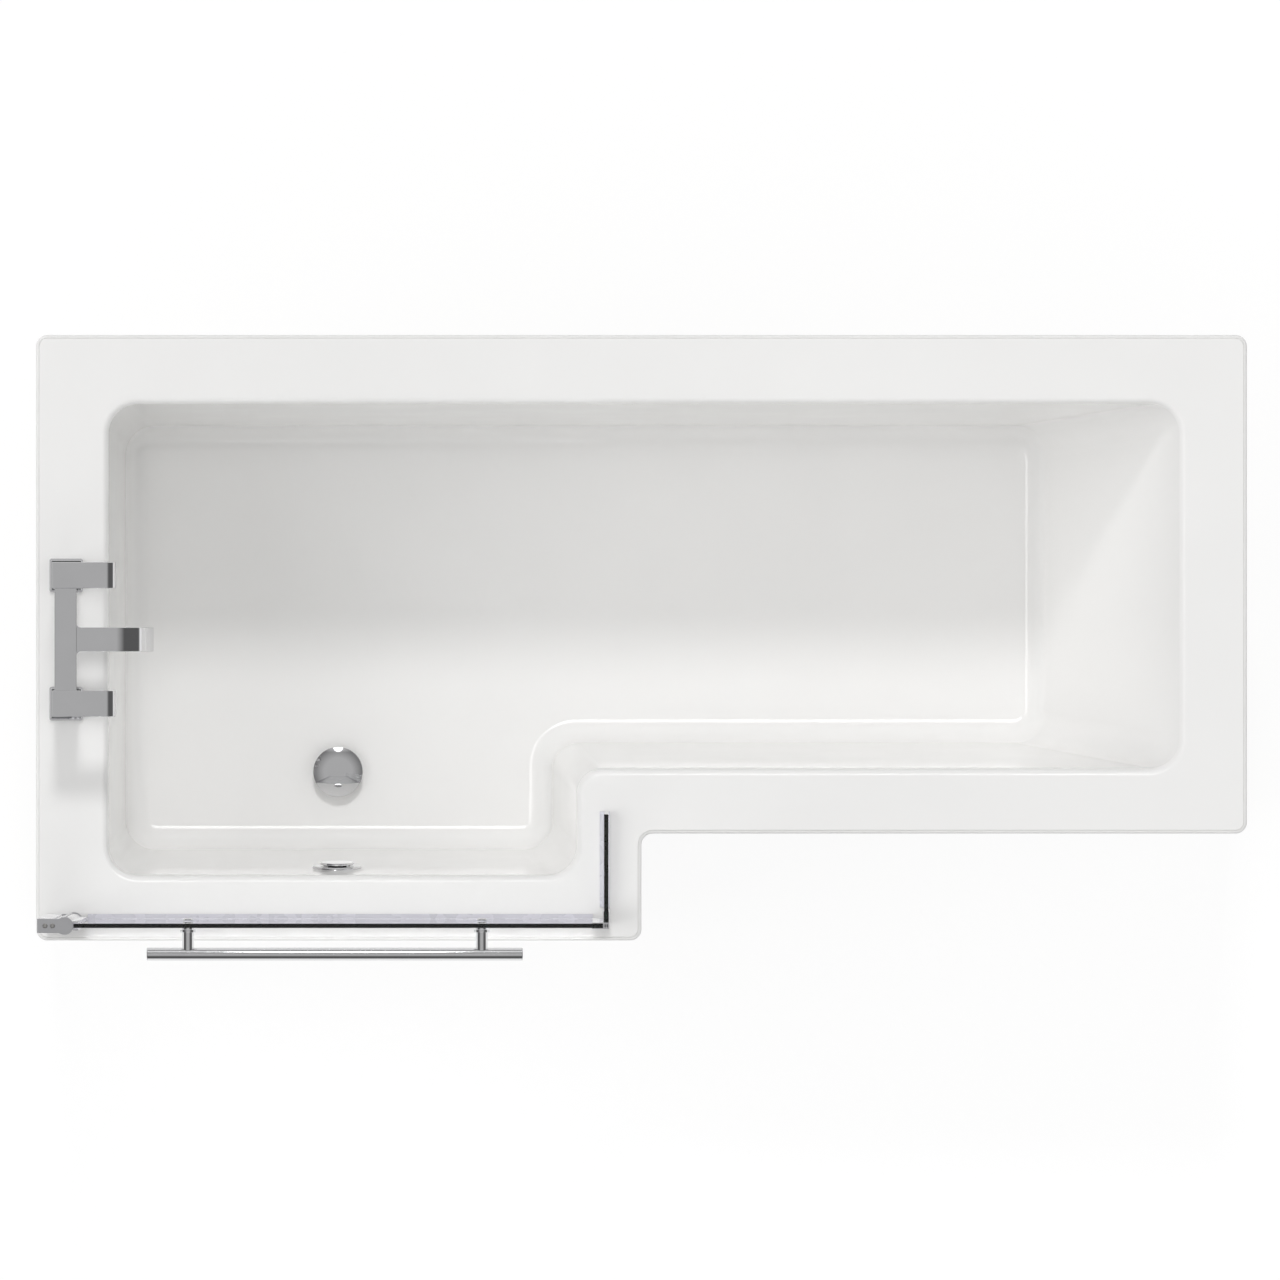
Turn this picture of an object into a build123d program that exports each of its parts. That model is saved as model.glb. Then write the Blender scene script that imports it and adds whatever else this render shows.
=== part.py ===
from build123d import *
from math import atan, cos, hypot, pi, sin, tan
import os

os.makedirs("parts", exist_ok=True)

# Millimetres. X runs from the tap end to the backrest end, Y from the open side to the long wall, and
# Z upwards from the floor. The origin is under the middle of the whole object.

# Bath outline: an L, wide at the shower end and narrow at the backrest end
bath_length = 1700
wide_width = 850
step_depth = 150
wide_length = 850
rim_height = 560
lip_depth = 32
outer_corner = 16
notch_corner = 16
edge_rounding = 4
shell = 5
pick_range = 0.05

# Basin: rim widths, how far each wall leans in, and the roundings
inside_depth = 400
rim_left = 93
rim_back = 88
rim_right = 87
rim_front = 83
rim_step = 82
lean_left = 23
lean_back = 32
lean_right = 196
lean_front = 38
lean_step = 38
mouth_rounding = 9
basin_corner = 42
basin_step_corner = 36
floor_rounding = 33

# Board, battens and cradle under the bath
baseboard = 18
baseboard_margin = 34
baseboard_corner = 20
batten_inset = 12
batten_width = 45
batten_height = 18
batten_joint = 1
tap_batten_width = 62
bar_width = 40
bar_height = 25
bar_wall = 2
bar_margin = 65
left_bar_from_end = 200
middle_bar_from_step = 90
right_bar_from_end = 410
bar_screw_count = 4
bar_screw_pitch = 110
leg_from_bar_end = 20
stud_diameter = 10
stud_over_bar = 16
foot_diameter = 50
foot_height = 12
foot_boss_diameter = 20
foot_boss_height = 9
foot_floor = 6
nut_across_flats = 17
nut_height = 8
wood_screw_diameter = 4
wood_screw_length = 15
wood_screw_head = 9
wood_screw_head_height = 2.6
hole_clearance = 0.3

# Brackets that hook the lip to the walls
bracket_width = 40
bracket_wall = 3
bracket_drop = 78
bracket_tab = 20
bracket_hole = 5.5
bracket_hole_pitch = 40
bracket_hole_from_foot = 16
left_bracket_from_end = 430
right_bracket_from_end = 430

# Front panel, one moulding with a set-back plinth
panel = 4
panel_gap = 0.5
panel_top_gap = 3
plinth_height = 90
plinth_setback = 16
floor_batten_width = 30
floor_batten_height = 34
panel_screw_pitch = 330
panel_cap = 14
panel_cap_height = 3
panel_cap_taper = 25

# Waste with a push plug, and the overflow behind the open side
waste_from_end = 422
waste_from_front = 236
waste_hole = 52
waste_flange = 67
waste_flange_height = 2.5
waste_flange_edge = 0.8
waste_seal = 1.5
waste_seal_under = 4
waste_bowl = 48
waste_bowl_wall = 2
waste_bowl_depth = 30
spider_arms = 3
spider_arm = 5
spider_hub = 20
spider_height = 4
body_flange = 74
body_flange_height = 5
body_diameter = 60
body_wall = 3
body_depth = 52
outlet_diameter = 47.8
outlet_length = 42
outlet_bore = 40
port_drop = 36
port_diameter = 20
port_bore = 15
port_reach = 60
plug_cap_diameter = 70
plug_cap_edge = 2
plug_cap_dome = 6
plug_stem = 10
plug_travel = 7
plug_spare_travel = 1
plug_seal_diameter = 56
plug_seal_bore = 36
plug_seal_height = 2.5
plug_barrel = 16
plug_barrel_length = 24
plug_thread = 11
running_fit = 0.05
body_gap = 0.4

overflow_drop = 100
overflow_cover = 69
overflow_cover_height = 4
overflow_cover_rounding = 2
overflow_disc = 47
overflow_disc_lift = 9
overflow_disc_height = 3.5
overflow_disc_rounding = 1.2
overflow_sleeve = 42
overflow_sleeve_wall = 2
overflow_sleeve_length = 22
overflow_seal = 3
elbow_flange = 68
elbow_flange_height = 4
elbow_diameter = 50
elbow_depth = 34
elbow_stub = 46
pipe_diameter = 25
pipe_overlap = 18
pipe_bend = 45

# Tap: two pillars, a bridge with a curved spout, and two levers
tap_from_end = 42.5
tap_from_front = 422.5
valve_distance = 180
tap_plate = 47
tap_plate_height = 8
tap_plate_chamfer = 1.5
pillar = 35
pillar_height = 108
pillar_edge = 2.5
bridge_width = 31
bridge_height = 22
bridge_drop = 4
spout_width = 34
spout_thickness = 16
spout_straight = 59
spout_radius = 65
spout_turn = 80
spout_drop = 2
spout_fillet = 6
aerator_width = 25
aerator_thickness = 9
aerator_depth = 6
aerator_corner = 1
aerator_hole = 1.5
aerator_hole_pitch = 3
tail_diameter = 26.4
tail_bore = 19
tail_length = 66
tail_end_thread = 26
tail_groove = 2
tail_grip = 14
tap_hole = 29
backnut_across_flats = 36
backnut_height = 9
tap_washer = 42
tap_washer_height = 3
cartridge_diameter = 22
cartridge_depth = 38
spindle_diameter = 8
spindle_grip = 12
lever_width = 36.7
lever_thickness = 9
lever_back = 18.5
lever_reach = 54
lever_bend = 14
lever_turn = 65
lever_hub = 14
lever_edge = 1.5

# Screen: hinge profiles on the end wall, a fixed-angle corner of two panes, seals and a towel rail
screen_height = 1400
wall_finish = 15.4
screen_from_front = 27.2
glass = 6
hinge_reach = 37.9
knuckle = 25.2
knuckle_wall = 1.8
cup_start = 100
cup_end = 240
full_turn = 360
channel_width = 20
channel_depth = 22
profile_wall = 1.9
profile_reach = 34
profile_slide_gap = 0.3
profile_screw_drop = 200
profile_screw_diameter = 3.5
profile_screw_head = 7
profile_screw_length = 7
channel_hole = 5.5
channel_hole_pitch = 550
cap_height = 3
cap_screw_near = 16.6
cap_screw_far = 26.9
cap_screw_diameter = 3
cap_screw_head = 7
cap_screw_head_height = 1.6
cap_screw_length = 14
cap_boss = 6.4
cap_pin = 6
cap_pin_length = 14
glazing_reach = 19
glazing_width = 12.6
glazing_gasket_wall = 1
glass_from_hinge = 7
glass_edge = 0.6
glass_over_rim = 8
corner_from_step = 48.7
corner_wall = 1.2
corner_fit = 0.15
corner_leg = 15
corner_slot = 1.5
return_length = 154
seal_wall = 1.1
seal_leg = 10
seal_base = 4
seal_fin = 7
seal_lift = 0.5
corner_lift = 1
rail_height = 700
rail_from_end = 423
rail_length = 524
rail_diameter = 18
rail_end_chamfer = 1
rail_post_spacing = 409
rail_stand_off = 39.8
rail_post = 16.7
rail_collar = 22
rail_collar_height = 4
rail_collar_from_glass = 9.5
rail_washer = 20
rail_washer_height = 1
rail_screw = 6
rail_screw_head = 13.4
rail_screw_head_height = 3.4
rail_screw_grip = 14
glass_hole = 12

# Places that follow from the sizes above
floor_top = rim_height - inside_depth
floor_under = floor_top - shell
rim_under = rim_height - shell
lip_bottom = rim_height - lip_depth
board_under = floor_under - baseboard

x_left = -bath_length / 2
x_right = bath_length / 2
x_step = x_left + wide_length
rail_overhang = rail_stand_off + glass / 2 + rail_diameter / 2 - screen_from_front
y_back = (wide_width + rail_overhang) / 2
y_front = y_back - wide_width
y_notch = y_front + step_depth

no_margin = [0] * 5
sides = [
    (rim_left, lean_left),
    (rim_back, lean_back),
    (rim_right, lean_right),
    (rim_front, lean_front),
    (rim_step, lean_step),
]


def l_corners(left, back, right, front, step):
    """Corners of the L, moved in from the left, back, right, both fronts and the step."""
    x_0, x_1, x_2 = x_left + left, x_step - step, x_right - right
    y_0, y_1, y_2 = y_front + front, y_notch + front, y_back - back
    return [(x_0, y_0), (x_1, y_0), (x_1, y_1), (x_2, y_1), (x_2, y_2), (x_0, y_2)]


def l_face(z, margins, corner, notch):
    """The L at height z, with five outer corners of one radius and the notch of another."""
    corners = l_corners(*margins)
    with BuildSketch(Plane.XY.offset(z)) as outline:
        with BuildLine():
            Polyline(*corners, close=True)
        make_face()
        fillet(outline.vertices().sort_by_distance(corners[2])[1:], corner)
        fillet(outline.vertices().sort_by_distance(corners[2])[0], notch)
    return outline.sketch


def wall_margins(depth, grow):
    """Margins of the basin's five walls at a depth under the rim, pushed outwards by grow."""
    margins = []
    for rim, lean in sides:
        tangent = mouth_rounding * tan((pi / 2 - atan(lean / inside_depth)) / 2)
        along = lean * depth / inside_depth
        margins.append(rim + tangent + along - grow * hypot(lean, inside_depth) / inside_depth)
    return margins


def open_space(grow):
    """The air over the rim and inside the basin, pushed outwards by grow on every side."""
    top = rim_height - grow
    corner, notch = basin_corner + grow, basin_step_corner - grow
    mouth_face = l_face(top, wall_margins(grow, grow), corner, notch)
    floor_face = l_face(floor_top - grow, wall_margins(inside_depth + grow, grow), corner, notch)
    with BuildPart() as space:
        loft(sections=[floor_face, mouth_face], ruled=True)
        fillet(space.edges().group_by(Axis.Z)[0], floor_rounding + grow)
        with BuildSketch(Plane.XY.offset(top)):
            Rectangle(2 * bath_length, 2 * wide_width)
        extrude(amount=inside_depth)
        mouth = space.edges().filter_by_position(Axis.Z, top - pick_range, top + pick_range)
        mouth = mouth.filter_by(lambda edge: abs(edge.center().X) < bath_length / 2)
        fillet(mouth.filter_by(lambda edge: abs(edge.center().Y) < wide_width / 2), mouth_rounding - grow)
    return space.part


def l_band(z, height, inset, thickness):
    """An upright band that follows the bath's outline all round."""
    inner = inset + thickness
    with BuildPart() as band:
        extrude(l_face(z, [inset] * 5, outer_corner - inset, notch_corner + inset), amount=height)
        hollow = l_face(z, [inner] * 5, outer_corner - inner, notch_corner + inner)
        extrude(hollow, amount=height, mode=Mode.SUBTRACT)
    return band.part


def front_corners(inset, end_gap):
    """Corners of a line along the open side, from the tap end to the backrest end."""
    return [
        (x_left + end_gap, y_front + inset),
        (x_step - inset, y_front + inset),
        (x_step - inset, y_notch + inset),
        (x_right - end_gap, y_notch + inset),
    ]


def front_strip(inset, thickness, end_gap):
    """Plan of a strip that follows the open side of the bath: wide front, step and narrow front."""
    inner = inset + thickness
    with BuildSketch() as strip:
        with BuildLine():
            outer_radii = [max(outer_corner - inset, panel), notch_corner + inset]
            inner_radii = [max(outer_corner - inner, panel), notch_corner + inner]
            outer_line = FilletPolyline(*front_corners(inset, end_gap), radius=outer_radii)
            inner_line = FilletPolyline(*front_corners(inner, end_gap), radius=inner_radii)
            Line(outer_line @ 0, inner_line @ 0)
            Line(outer_line @ 1, inner_line @ 1)
        make_face()
    return strip.sketch


def finish_piece(piece, name):
    """Labels a finished piece and writes it under its own name."""
    piece.part.label = name
    export_step(piece.part, f"parts/{name}.step")


def plain_box(low, high):
    """A block between two corners, added to the open part."""
    middle = [(a + b) / 2 for a, b in zip(low, high)]
    with Locations(tuple(middle)):
        Box(*[b - a for a, b in zip(low, high)])


# The bath moulding: basin, flat rim and turned-down lip, one even thickness
basin_inside = open_space(0)
basin_outside = open_space(shell)
lip = l_band(lip_bottom, lip_depth - shell, 0, shell)

waste_x = x_left + waste_from_end
waste_y = y_front + waste_from_front
tap_x = x_left + tap_from_end
tap_y = y_front + tap_from_front
valve_points = [(tap_x, tap_y - valve_distance / 2), (tap_x, tap_y + valve_distance / 2)]
front_slope = atan(lean_front / inside_depth)
overflow_y = y_front + wall_margins(overflow_drop, 0)[3]
overflow_origin = (waste_x, overflow_y, rim_height - overflow_drop)
overflow_normal = (0, cos(front_slope), sin(front_slope))
overflow_plane = Plane(origin=overflow_origin, x_dir=(1, 0, 0), z_dir=overflow_normal)
overflow_axis = Axis(overflow_plane.origin, overflow_plane.z_dir)
overflow_hole = overflow_sleeve / 2 + hole_clearance

with BuildPart() as bath_shell:
    block = l_face(board_under, no_margin, outer_corner, notch_corner)
    extrude(block, amount=rim_height - board_under)
    fillet(bath_shell.faces().sort_by(Axis.Z)[-1].edges(), edge_rounding)
    add(basin_outside, mode=Mode.INTERSECT)
    add(lip)
    add(basin_inside, mode=Mode.SUBTRACT)
    with Locations((waste_x, waste_y, floor_under)):
        Cylinder(waste_hole / 2, 4 * shell, mode=Mode.SUBTRACT)
    with Locations(*[(x, y, rim_under) for x, y in valve_points]):
        Cylinder(tap_hole / 2, 4 * shell, mode=Mode.SUBTRACT)
    with BuildSketch(overflow_plane):
        Circle(overflow_hole)
    extrude(amount=4 * shell, both=True, mode=Mode.SUBTRACT)
finish_piece(bath_shell, "bath_shell")

# Chipboard bonded under the basin floor, cut away round the waste
board_face = l_face(
    board_under,
    [margin + baseboard_margin for margin in wall_margins(inside_depth, 0)],
    baseboard_corner,
    baseboard_corner,
)
bar_places = [
    (x_left + left_bar_from_end, y_front),
    (x_step - middle_bar_from_step, y_front),
    (x_right - right_bar_from_end, y_notch),
]


def bar_middle(bar):
    """Middle of a cradle bar in Y."""
    return (bar[1] + y_back) / 2


def bar_screws(bar):
    """Plan positions of the screws that hold one bar."""
    first = bar_middle(bar) - (bar_screw_count - 1) * bar_screw_pitch / 2
    return [(bar[0], first + index * bar_screw_pitch) for index in range(bar_screw_count)]


def bar_legs(bar):
    """Plan positions of the two legs of one bar."""
    inset = bar_margin + leg_from_bar_end
    return [(bar[0], bar[1] + inset), (bar[0], y_back - inset)]


screw_points = [point for bar in bar_places for point in bar_screws(bar)]
leg_points = [point for bar in bar_places for point in bar_legs(bar)]
screw_hole = wood_screw_diameter / 2 + hole_clearance

with BuildPart() as baseboard_piece:
    extrude(board_face, amount=baseboard)
    with Locations((waste_x, waste_y, board_under)):
        Cylinder(body_flange / 2 + baseboard, 4 * baseboard, mode=Mode.SUBTRACT)
    with Locations(*[(x, y, board_under) for x, y in screw_points]):
        Cylinder(screw_hole, 2 * wood_screw_length, mode=Mode.SUBTRACT)
finish_piece(baseboard_piece, "baseboard")

# Timber battens under the flat rim, butted at the corners
batten_inner = batten_inset + batten_width
batten_low = rim_under - batten_height
butt = batten_inner + batten_joint
batten_runs = [
    ((x_left + batten_inset, y_front + batten_inset), (x_step - batten_inset, y_front + batten_inner)),
    ((x_step - batten_inner, y_front + butt), (x_step - batten_inset, y_notch + batten_inset - batten_joint)),
    ((x_step - batten_inner, y_notch + batten_inset), (x_right - batten_inset, y_notch + batten_inner)),
    ((x_right - batten_inner, y_notch + butt), (x_right - batten_inset, y_back - butt)),
    ((x_left + batten_inset, y_back - batten_inner), (x_right - batten_inset, y_back - batten_inset)),
]
with BuildPart() as rim_battens:
    for low, high in batten_runs:
        plain_box((*low, batten_low), (*high, rim_under))
finish_piece(rim_battens, "rim_battens")

with BuildPart() as tap_batten:
    plain_box(
        (x_left + batten_inset, y_front + butt, batten_low),
        (x_left + batten_inset + tap_batten_width, y_back - butt, rim_under),
    )
    with Locations(*[(x, y, rim_under) for x, y in valve_points]):
        Cylinder(tap_hole / 2, 4 * batten_height, mode=Mode.SUBTRACT)
finish_piece(tap_batten, "tap_batten")

# Steel cradle bars, channels that open downwards, with a leg near each end
stud_hole = stud_diameter / 2 + hole_clearance
for bar, name in zip(bar_places, ["cradle_bar_left", "cradle_bar_middle", "cradle_bar_right"]):
    bar_start = bar[1] + bar_margin
    bar_length = y_back - bar_margin - bar_start
    with BuildPart() as cradle_bar:
        with BuildSketch(Plane.XZ.offset(-bar_start)):
            with Locations((bar[0], board_under - bar_height / 2)):
                Rectangle(bar_width, bar_height)
            with Locations((bar[0], board_under - bar_wall - bar_height / 2)):
                Rectangle(bar_width - 2 * bar_wall, bar_height, mode=Mode.SUBTRACT)
        extrude(amount=-bar_length)
        with Locations(*[(x, y, board_under) for x, y in bar_legs(bar)]):
            Cylinder(stud_hole, 4 * bar_wall, mode=Mode.SUBTRACT)
        with Locations(*[(x, y, board_under) for x, y in bar_screws(bar)]):
            Cylinder(screw_hole, 4 * bar_wall, mode=Mode.SUBTRACT)
    finish_piece(cradle_bar, name)

with BuildPart() as cradle_screws:
    head_top = board_under - bar_wall
    with Locations(*[(x, y, head_top) for x, y in screw_points]):
        Cylinder(
            wood_screw_head / 2,
            wood_screw_head_height,
            align=(Align.CENTER, Align.CENTER, Align.MAX),
        )
        Cylinder(
            wood_screw_diameter / 2,
            wood_screw_length,
            align=(Align.CENTER, Align.CENTER, Align.MIN),
        )
finish_piece(cradle_screws, "cradle_screws")

# Adjustable legs: foot, threaded stud and two locking nuts each
with BuildPart() as leg_studs:
    with Locations(*[(x, y, foot_floor) for x, y in leg_points]):
        Cylinder(
            stud_diameter / 2,
            board_under + stud_over_bar - foot_floor,
            align=(Align.CENTER, Align.CENTER, Align.MIN),
        )
finish_piece(leg_studs, "leg_studs")

with BuildPart() as leg_nuts:
    for base in (board_under, board_under - bar_wall - nut_height):
        with BuildSketch(Plane.XY.offset(base)):
            with Locations(*leg_points):
                RegularPolygon(nut_across_flats / 2, 6, major_radius=False)
                Circle(stud_hole, mode=Mode.SUBTRACT)
        extrude(amount=nut_height)
finish_piece(leg_nuts, "leg_nuts")

with BuildPart() as leg_feet:
    foot_top = foot_height + foot_boss_height
    for x, y in leg_points:
        with BuildSketch(Plane.XZ.offset(-y)):
            with BuildLine():
                Polyline(
                    (x, 0),
                    (x + foot_diameter / 2, 0),
                    (x + foot_diameter / 2, foot_floor),
                    (x + foot_boss_diameter / 2, foot_height),
                    (x + foot_boss_diameter / 2, foot_top),
                    (x + stud_hole, foot_top),
                    (x + stud_hole, foot_floor),
                    (x, foot_floor),
                    close=True,
                )
            make_face()
        revolve(axis=Axis((x, y, 0), (0, 0, 1)))
finish_piece(leg_feet, "leg_feet")

# Hooked brackets that trap the lip against the walls
bracket_planes = [
    Plane(origin=(x_left + left_bracket_from_end, y_back, 0), x_dir=(0, -1, 0), z_dir=(-1, 0, 0)),
    Plane(origin=(x_right - right_bracket_from_end, y_back, 0), x_dir=(0, -1, 0), z_dir=(-1, 0, 0)),
    Plane(origin=(x_left, (y_front + y_back) / 2, 0), x_dir=(1, 0, 0), z_dir=(0, -1, 0)),
    Plane(origin=(x_right, (y_notch + y_back) / 2, 0), x_dir=(-1, 0, 0), z_dir=(0, 1, 0)),
]
hook_outer = shell + hole_clearance + bracket_wall
with BuildPart() as wall_brackets:
    for plane in bracket_planes:
        with BuildSketch(plane):
            with BuildLine():
                Polyline(
                    (0, lip_bottom),
                    (0, lip_bottom - bracket_drop),
                    (bracket_wall, lip_bottom - bracket_drop),
                    (bracket_wall, lip_bottom - bracket_wall),
                    (hook_outer, lip_bottom - bracket_wall),
                    (hook_outer, lip_bottom + bracket_tab),
                    (hook_outer - bracket_wall, lip_bottom + bracket_tab),
                    (hook_outer - bracket_wall, lip_bottom),
                    close=True,
                )
            make_face()
        extrude(amount=bracket_width / 2, both=True)
        for step in (0, 1):
            hole_z = lip_bottom - bracket_drop + bracket_hole_from_foot + step * bracket_hole_pitch
            hole_origin = plane.origin + Vector(0, 0, hole_z)
            with BuildSketch(Plane(origin=hole_origin, x_dir=plane.z_dir, z_dir=plane.x_dir)):
                Circle(bracket_hole / 2)
            extrude(amount=bracket_wall, mode=Mode.SUBTRACT)
finish_piece(wall_brackets, "wall_brackets")

# Front panel: follows the open side behind the lip, with the plinth set back below
panel_inset = shell + panel_gap
plinth_inset = panel_inset + plinth_setback
panel_face = front_strip(panel_inset, panel, outer_corner)
ledge_face = front_strip(panel_inset, plinth_setback + panel, outer_corner)
plinth_face = front_strip(plinth_inset, panel, outer_corner)
panel_top = rim_under - panel_top_gap
batten_face_y = plinth_inset + panel
x_batten_end = x_right - batten_face_y

floor_batten_runs = [
    (
        (x_left + batten_face_y, y_front + batten_face_y),
        (
            x_step - batten_face_y - floor_batten_width - batten_joint,
            y_front + batten_face_y + floor_batten_width,
        ),
    ),
    (
        (x_step - batten_face_y - floor_batten_width, y_front + batten_face_y + panel),
        (x_step - batten_face_y, y_notch + batten_face_y + floor_batten_width),
    ),
    (
        (x_step - batten_face_y + batten_joint, y_notch + batten_face_y),
        (x_batten_end, y_notch + batten_face_y + floor_batten_width),
    ),
]
panel_screw_z = floor_batten_height / 2
panel_screw_points = []
for start, end, y in (
    (x_left, x_step, y_front + plinth_inset),
    (x_step, x_right, y_notch + plinth_inset),
):
    for step in (-0.5, 0.5):
        panel_screw_points.append(((start + end) / 2 + step * panel_screw_pitch, y))

with BuildPart() as front_panel:
    extrude(Plane.XY.offset(plinth_height) * panel_face, amount=panel_top - plinth_height)
    extrude(Plane.XY.offset(plinth_height) * ledge_face, amount=panel)
    extrude(plinth_face, amount=plinth_height + panel)
    for x, y in panel_screw_points:
        with BuildSketch(Plane(origin=(x, y, panel_screw_z), x_dir=(1, 0, 0), z_dir=(0, 1, 0))):
            Circle(screw_hole)
        extrude(amount=2 * panel, both=True, mode=Mode.SUBTRACT)
finish_piece(front_panel, "front_panel")

with BuildPart() as floor_battens:
    for low, high in floor_batten_runs:
        plain_box((*low, 0), (*high, floor_batten_height))
    for x, y in panel_screw_points:
        with BuildSketch(Plane(origin=(x, y, panel_screw_z), x_dir=(1, 0, 0), z_dir=(0, 1, 0))):
            Circle(screw_hole)
        extrude(amount=panel + wood_screw_length, mode=Mode.SUBTRACT)
finish_piece(floor_battens, "floor_battens")

with BuildPart() as panel_screws:
    for x, y in panel_screw_points:
        with BuildSketch(Plane(origin=(x, y, panel_screw_z), x_dir=(1, 0, 0), z_dir=(0, 1, 0))):
            Circle(wood_screw_diameter / 2)
        extrude(amount=wood_screw_length)
        with BuildSketch(Plane(origin=(x, y, panel_screw_z), x_dir=(1, 0, 0), z_dir=(0, -1, 0))):
            Circle(panel_cap / 2)
        extrude(amount=panel_cap_height, taper=panel_cap_taper)
finish_piece(panel_screws, "panel_screws")


def turned(x, y, points):
    """A closed half outline of (radius, height) points, turned about the upright axis at x, y."""
    with BuildSketch(Plane.XZ.offset(-y)) as half:
        with BuildLine():
            Polyline(*[(x + radius, z) for radius, z in points], close=True)
        make_face()
    revolve(half.sketch, axis=Axis((x, y, 0), (0, 0, 1)))


# Waste: seals either side of the floor, plated flange and bowl, body below with outlet and side port
flange_low = floor_top + waste_seal
flange_top = flange_low + waste_flange_height
bowl_bottom = flange_low - waste_bowl_depth
bowl_radius = waste_bowl / 2
bowl_bore = bowl_radius - waste_bowl_wall
body_top = floor_under - waste_seal_under
body_low = body_top - body_depth
outlet_low = body_low - outlet_length
port_z = body_top - port_drop
thread_radius = plug_thread / 2
barrel_low = bowl_bottom + spider_height
barrel_top = barrel_low + plug_barrel_length
hub_bore = thread_radius + hole_clearance

with BuildPart() as waste_flange_piece:
    with BuildSketch(Plane.XZ.offset(-waste_y)):
        with BuildLine():
            Polyline(
                (waste_x + bowl_bore, bowl_bottom),
                (waste_x + bowl_radius, bowl_bottom),
                (waste_x + bowl_radius, flange_low),
                (waste_x + waste_flange / 2, flange_low),
                (waste_x + waste_flange / 2, flange_low + waste_flange_edge),
                (waste_x + waste_flange / 2 - waste_flange_height, flange_top),
                (waste_x + bowl_radius, flange_top),
                (waste_x + bowl_bore, flange_low),
                close=True,
            )
        make_face()
    revolve(axis=Axis((waste_x, waste_y, 0), (0, 0, 1)))
    with BuildSketch(Plane.XY.offset(bowl_bottom)):
        with Locations((waste_x, waste_y)):
            with PolarLocations(0, spider_arms):
                Rectangle(bowl_radius, spider_arm, align=(Align.MIN, Align.CENTER))
            Circle(spider_hub / 2)
            Circle(hub_bore, mode=Mode.SUBTRACT)
    extrude(amount=spider_height)
finish_piece(waste_flange_piece, "waste_flange")

with BuildPart() as waste_seals:
    with BuildSketch(Plane.XY.offset(floor_top)):
        with Locations((waste_x, waste_y)):
            Circle(waste_flange / 2 - waste_seal)
            Circle(bowl_radius + hole_clearance, mode=Mode.SUBTRACT)
    extrude(amount=waste_seal)
    with BuildSketch(Plane.XY.offset(body_top)):
        with Locations((waste_x, waste_y)):
            Circle(body_flange / 2 - waste_seal)
            Circle(bowl_radius + hole_clearance, mode=Mode.SUBTRACT)
    extrude(amount=waste_seal_under)
finish_piece(waste_seals, "waste_seals")

with BuildPart() as waste_body:
    body_bore = bowl_radius + hole_clearance
    turned(
        waste_x,
        waste_y,
        [
            (body_bore, body_top),
            (body_flange / 2, body_top),
            (body_flange / 2, body_top - body_flange_height),
            (body_diameter / 2, body_top - body_flange_height),
            (body_diameter / 2, body_low + body_wall),
            (outlet_diameter / 2, body_low),
            (outlet_diameter / 2, outlet_low),
            (outlet_bore / 2, outlet_low),
            (outlet_bore / 2, body_low + body_wall),
            (body_bore, body_low + 2 * body_wall),
        ],
    )
    with BuildSketch(Plane.XZ.offset(-(waste_y - body_bore))):
        with Locations((waste_x, port_z)):
            Circle(port_diameter / 2)
    extrude(amount=port_reach - body_bore)
    with BuildSketch(Plane.XZ.offset(-waste_y)):
        with Locations((waste_x, port_z)):
            Circle(port_bore / 2)
    extrude(amount=port_reach, mode=Mode.SUBTRACT)
finish_piece(waste_body, "waste_body")

# Push plug: the barrel screws into the spider, the domed cap and its seal slide on it
stem_radius = plug_stem / 2
seal_low = flange_top + body_gap + plug_travel
cap_low = seal_low + plug_seal_height
stem_low = barrel_low + plug_travel + plug_spare_travel

with BuildPart() as plug_barrel_piece:
    turned(
        waste_x,
        waste_y,
        [
            (0, bowl_bottom),
            (thread_radius, bowl_bottom),
            (thread_radius, barrel_low),
            (plug_barrel / 2, barrel_low),
            (plug_barrel / 2, barrel_top),
            (stem_radius + running_fit, barrel_top),
            (stem_radius + running_fit, barrel_low + body_gap),
            (0, barrel_low + body_gap),
        ],
    )
finish_piece(plug_barrel_piece, "plug_barrel")

with BuildPart() as plug_cap:
    cap_radius = plug_cap_diameter / 2
    with BuildSketch(Plane.XZ.offset(-waste_y)):
        with BuildLine():
            dome_edge = (waste_x + cap_radius, cap_low + plug_cap_edge)
            dome_top = (waste_x, cap_low + plug_cap_edge + plug_cap_dome)
            Line((waste_x, stem_low), (waste_x + stem_radius, stem_low))
            Line((waste_x + stem_radius, stem_low), (waste_x + stem_radius, cap_low))
            Line((waste_x + stem_radius, cap_low), (waste_x + cap_radius, cap_low))
            Line((waste_x + cap_radius, cap_low), dome_edge)
            dome = TangentArc(dome_top, dome_edge, tangent=(1, 0))
            Line((waste_x, stem_low), dome_top)
        make_face()
    revolve(axis=Axis((waste_x, waste_y, 0), (0, 0, 1)))
finish_piece(plug_cap, "plug_cap")

with BuildPart() as plug_seal:
    with BuildSketch(Plane.XY.offset(seal_low)):
        with Locations((waste_x, waste_y)):
            Circle(plug_seal_diameter / 2)
            Circle(plug_seal_bore / 2, mode=Mode.SUBTRACT)
    extrude(amount=plug_seal_height)
finish_piece(plug_seal, "plug_seal")

# Overflow: plated cover with its sleeve through the wall, seal and elbow behind, pipe down to the waste
seat = -shell - overflow_seal


def at_overflow(w):
    """The overflow's plane, moved by w along the wall's normal, into the basin where w is positive."""
    return overflow_plane.offset(w)


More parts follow.
